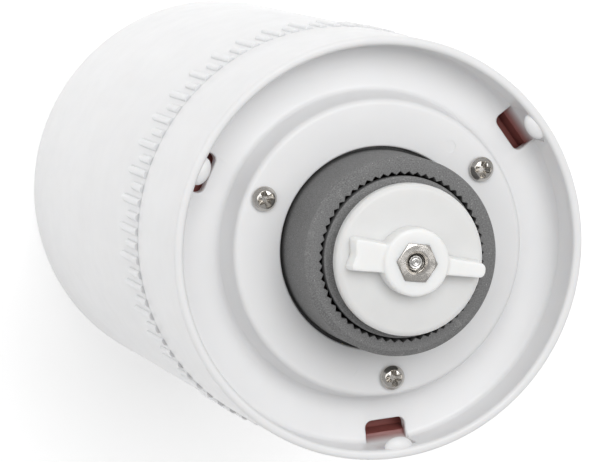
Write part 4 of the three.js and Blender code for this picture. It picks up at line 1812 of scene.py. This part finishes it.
@dataclass
class Knob(SubAssembly):
    """The milky knob that sets the burrs' gap, with the nut that is pressed into it."""

    knob: Extent = field(default_factory=lambda: Extent.of("adjusting_knob"))
    nut: Extent = field(default_factory=lambda: Extent.of("hex_nut"))
    body: Body = Body.KNOB
    disc: float = 2.2
    disc_fillet: float = 0.9
    hub_radius: float = 5.2
    hub_draft: float = 0.12
    wing_drop: float = 0.5
    wing_sink: float = 1.6
    angle: float = math.radians(173)
    pointer: tuple[float, float, float] = (3.5, 2.5, 11.2)
    tail: tuple[float, float, float] = (4.1, 5.2, 10.05)
    tail_hollow: float = 0.55
    wing_draft: float = 0.22
    skin: float = 0.16
    softening: int = 7
    nut_radius: float = 3.175
    nut_gap: float = 0.06
    nut_twist: float = math.radians(-4)
    nut_bore: float = 1.44
    nut_chamfer: float = 0.22
    thread_depth: float = 0.2
    thread_pitch: float = 0.5
    shaft_gap: float = 0.3

    @property
    def radius(self) -> float:
        """The disc's radius."""
        return self.knob.radius

    @property
    def disc_top(self) -> float:
        """The height of the disc's upper face."""
        return self.knob.bottom + self.disc

    def pointer_plan(self, grow: float) -> np.ndarray:
        """The pointing wing's plan, grown on all sides.

        Args:
            grow: by how much.

        Returns:
            The plan's points.
        """
        root, tip, reach = self.pointer
        root, tip, reach = root / 2 + grow, tip / 2 + grow, reach + grow
        end = 0.8 * tip
        corners = [
            Corner(0, -root),
            Corner(reach, -tip, end),
            Corner(reach, tip, end),
            Corner(0, root),
        ]
        return rounded(corners, 8)

    def tail_plan(self, grow: float) -> np.ndarray:
        """The broad wing's plan, whose end is hollowed, grown on all sides.

        Args:
            grow: by how much.

        Returns:
            The plan's points.
        """
        root, tip, reach = self.tail
        root, tip, reach = root / 2 + grow, tip / 2 + grow, reach + grow
        hollow = reach - self.tail_hollow
        corners = [
            Corner(0, root),
            Corner(-reach, tip, 0.55),
            Corner(-hollow, 0, 1.2),
            Corner(-reach, -tip, 0.55),
            Corner(0, -root),
        ]
        return rounded(corners, 8)

    def make_knob(self) -> Piece:
        """Makes the knob: a disc with a hub, a broad wing and a narrow pointing wing."""
        top, bottom = self.knob.top, self.knob.bottom
        wing_top = top - self.wing_drop
        sunk = self.disc_top - self.wing_sink
        hub = turned(
            "adjusting_knob_nylon",
            [
                Corner(0, sunk),
                Corner(self.hub_radius, sunk),
                Corner(self.hub_radius - self.hub_draft, top, 0.45),
                Corner(0, top),
            ],
            SMALL_ROUND,
        )
        wings = []
        levels = ((0.0, sunk), (0.0, self.disc_top), (-self.wing_draft, wing_top))
        for plan in (self.pointer_plan, self.tail_plan):
            layers = [(plan(grow), height) for grow, height in levels]
            wings.append(lofted("wing", layers, self.angle))
        knob = combined(hub, Join.ADD, wings)
        skin = knob.modifiers.new("Skin", "REMESH")
        skin.mode = "VOXEL"
        skin.voxel_size = self.skin
        soft = knob.modifiers.new("Soft", "SMOOTH")
        soft.iterations = self.softening
        evaluated(knob)
        disc = turned(
            "disc",
            [
                Corner(0, bottom),
                Corner(self.radius, bottom, 0.25),
                Corner(self.radius, self.disc_top, self.disc_fillet),
                Corner(0, self.disc_top),
            ],
        )
        whole = combined(disc, Join.ADD, [knob])
        whole.name = "adjusting_knob_nylon"
        pocket = regular(6, self.nut_radius + self.nut_gap, self.nut_twist)
        bore = regular(64, self.nut_bore + self.shaft_gap)
        cutters = [
            lofted("pocket", [(pocket, self.nut.bottom - 0.25), (pocket, top + PAST)]),
            lofted("bore", [(bore, bottom - PAST), (bore, top)]),
        ]
        knob = combined(whole, Join.CUT, cutters)
        # painted shade: greys the disc and all below its top face, for the dark burrs seen through
        # it, so the hub and wings stay lighter
        face = self.disc_top + 0.08
        return marked(knob, PAINTED_SHADE_SHARE, lambda reach, height: float(height < face))

    def make_nut(self) -> Piece:
        """Makes the chamfered hexagonal nut with its threaded bore."""
        bottom, top = self.nut.bottom, self.nut.top
        plan = regular(6, self.nut_radius, self.nut_twist)
        prism = lofted("nut_nickel", [(plan, bottom), (plan, top)])
        flat = self.nut_radius * math.cos(math.pi / 6)
        reach = self.nut_radius + 0.1
        cone = [
            Corner(0, bottom),
            Corner(flat - 0.05, bottom),
            Corner(reach, bottom + self.nut_chamfer),
            Corner(reach, top - self.nut_chamfer),
            Corner(flat - 0.05, top, HAIR_EDGE),
            Corner(0, top),
        ]
        blank = combined(prism, Join.COMMON, [turned("chamfer", cone, SMALL_ROUND)])
        low, high = bottom - 0.5, top + 0.5
        thread = Thread(self.nut_bore, self.thread_depth, self.thread_pitch, low, high)
        mouth = [
            Corner(0, top - 0.5),
            Corner(self.nut_bore - 0.1, top - 0.5),
            Corner(self.nut_bore + 0.4, top),
            Corner(self.nut_bore + 0.4, high),
            Corner(0, high),
        ]
        cutters = [thread.rod("thread", 64, 12), turned("mouth", mouth, SMALL_ROUND)]
        return combined(blank, Join.CUT, cutters)

    def build(self) -> list[Piece]:
        """Builds and dresses the knob's pieces.

        Returns:
            The pieces.
        """
        return [
            self.dressed(self.make_knob(), MILKY_NYLON.material(), Slot.KNOB, ["adjusting_knob"]),
            self.dressed(self.make_nut(), NICKEL_PLATE.material(), Slot.NICKEL, ["hex_nut"]),
        ]


# ---- The studio


@dataclass(frozen=True)
class SoftBox:
    """A soft area light that faces the head."""

    name: str
    azimuth: float
    elevation: float
    distance: float
    width: float
    power: float

    def light(self, target: Vector) -> None:
        """Hangs the light.

        Args:
            target: the point that it faces.
        """
        data = bpy.data.lights.new(self.name, "AREA")
        data.shape = "DISK"
        data.size = self.width
        data.energy = self.power
        lamp = bpy.data.objects.new(self.name, data)
        bpy.context.scene.collection.objects.link(lamp)
        way = direction(self.azimuth, self.elevation)
        lamp.location = target + way * self.distance
        lamp.rotation_euler = way.to_track_quat("Z", "Y").to_euler()


def direction(azimuth: float, elevation: float) -> Vector:
    """The way from the mill to a point of view; azimuth 0 is -Y and 90 is +X, in degrees."""
    around, up = math.radians(azimuth), math.radians(elevation)
    return Vector((math.sin(around) * math.cos(up), -math.cos(around) * math.cos(up), math.sin(up)))


@dataclass
class Studio:
    """The camera, the floor and the lights."""

    azimuth: float = 69.43
    elevation: float = 72.36
    roll: float = 111.5
    distance: float = 0.5888
    aim: tuple[float, float, float] = (0.01177, -0.0028, 0.0995)
    lens: float = 227.9
    sensor: float = 36.0
    floor_size: float = 6.0
    floor_colour: Colour = (0.93, 0.93, 0.93)
    floor_glow: float = 0.3
    sky: float = 0.42
    boxes: tuple[SoftBox, ...] = (
        SoftBox("Key_light", 10.0, 62.0, 1.5, 1.1, 7.5),
        SoftBox("Side_light", 80.0, 50.0, 1.5, 0.9, 3.0),
        SoftBox("Top_light", -45.0, 68.0, 1.5, 0.95, 6.0),
    )

    def set_camera(self) -> None:
        """Places the camera."""
        back = direction(self.azimuth, self.elevation)
        level = Vector((-back.y, back.x, 0.0)).normalized()
        rise = back.cross(level)
        turn = math.radians(self.roll)
        right = level * math.cos(turn) + rise * math.sin(turn)
        up = back.cross(right)
        place = Vector(self.aim) + back * self.distance
        data = bpy.data.cameras.new("Camera")
        data.lens = self.lens
        data.sensor_width = self.sensor
        data.sensor_fit = "HORIZONTAL"
        camera = bpy.data.objects.new("Camera", data)
        bpy.context.scene.collection.objects.link(camera)
        rows = Matrix((right, up, back)).transposed().to_4x4()
        camera.matrix_world = Matrix.Translation(place) @ rows
        bpy.context.scene.camera = camera

    def lay_floor(self) -> None:
        """Lays the pale floor under the mill."""
        half = self.floor_size / 2
        corners = [(-half, -half, 0), (half, -half, 0), (half, half, 0), (-half, half, 0)]
        floor = mesh_object("Floor", corners, [(0, 1, 2, 3)])
        material = bpy.data.materials.new("Pale_floor")
        material.use_nodes = True
        shader = material.node_tree.nodes["Principled BSDF"]
        shader.inputs["Base Color"].default_value = shade(self.floor_colour)
        shader.inputs["Roughness"].default_value = 0.9
        shader.inputs["Specular IOR Level"].default_value = 0.1
        shader.inputs["Emission Color"].default_value = shade((1.0, 1.0, 1.0))
        shader.inputs["Emission Strength"].default_value = self.floor_glow
        material.cycles.emission_sampling = "NONE"
        floor.data.materials.append(material)

    def light(self) -> None:
        """Lights the mill softly, mostly from above and from the near side."""
        world = bpy.data.worlds.new("Studio")
        world.use_nodes = True
        sky = world.node_tree.nodes["Background"]
        sky.inputs["Color"].default_value = shade((1.0, 1.0, 1.0))
        sky.inputs["Strength"].default_value = self.sky
        bpy.context.scene.world = world
        for box in self.boxes:
            box.light(Vector(self.aim))
        bpy.context.scene.view_settings.view_transform = "Standard"

    def set_up(self) -> None:
        """Sets up the whole studio."""
        self.set_camera()
        self.lay_floor()
        self.light()


def report(piece: Piece) -> None:
    """Logs a finished piece and its size.

    Args:
        piece: the piece.
    """
    piece.data.calc_loop_triangles()
    triangles = len(piece.data.loop_triangles)
    size = " x ".join(f"{side / MM:.1f}" for side in piece.dimensions)
    log.info("%s: %d triangles, %s mm", piece.name, triangles, size)


def main() -> None:
    """Sets up the studio and builds the mill from the jar upwards."""
    logging.basicConfig(level=logging.INFO, format="%(name)s: %(message)s")
    Studio().set_up()
    for group in (Jar(), Drive(), Head(), Rotor(), Knob()):
        for piece in group.build():
            report(piece)


if __name__ == "__main__":
    main()
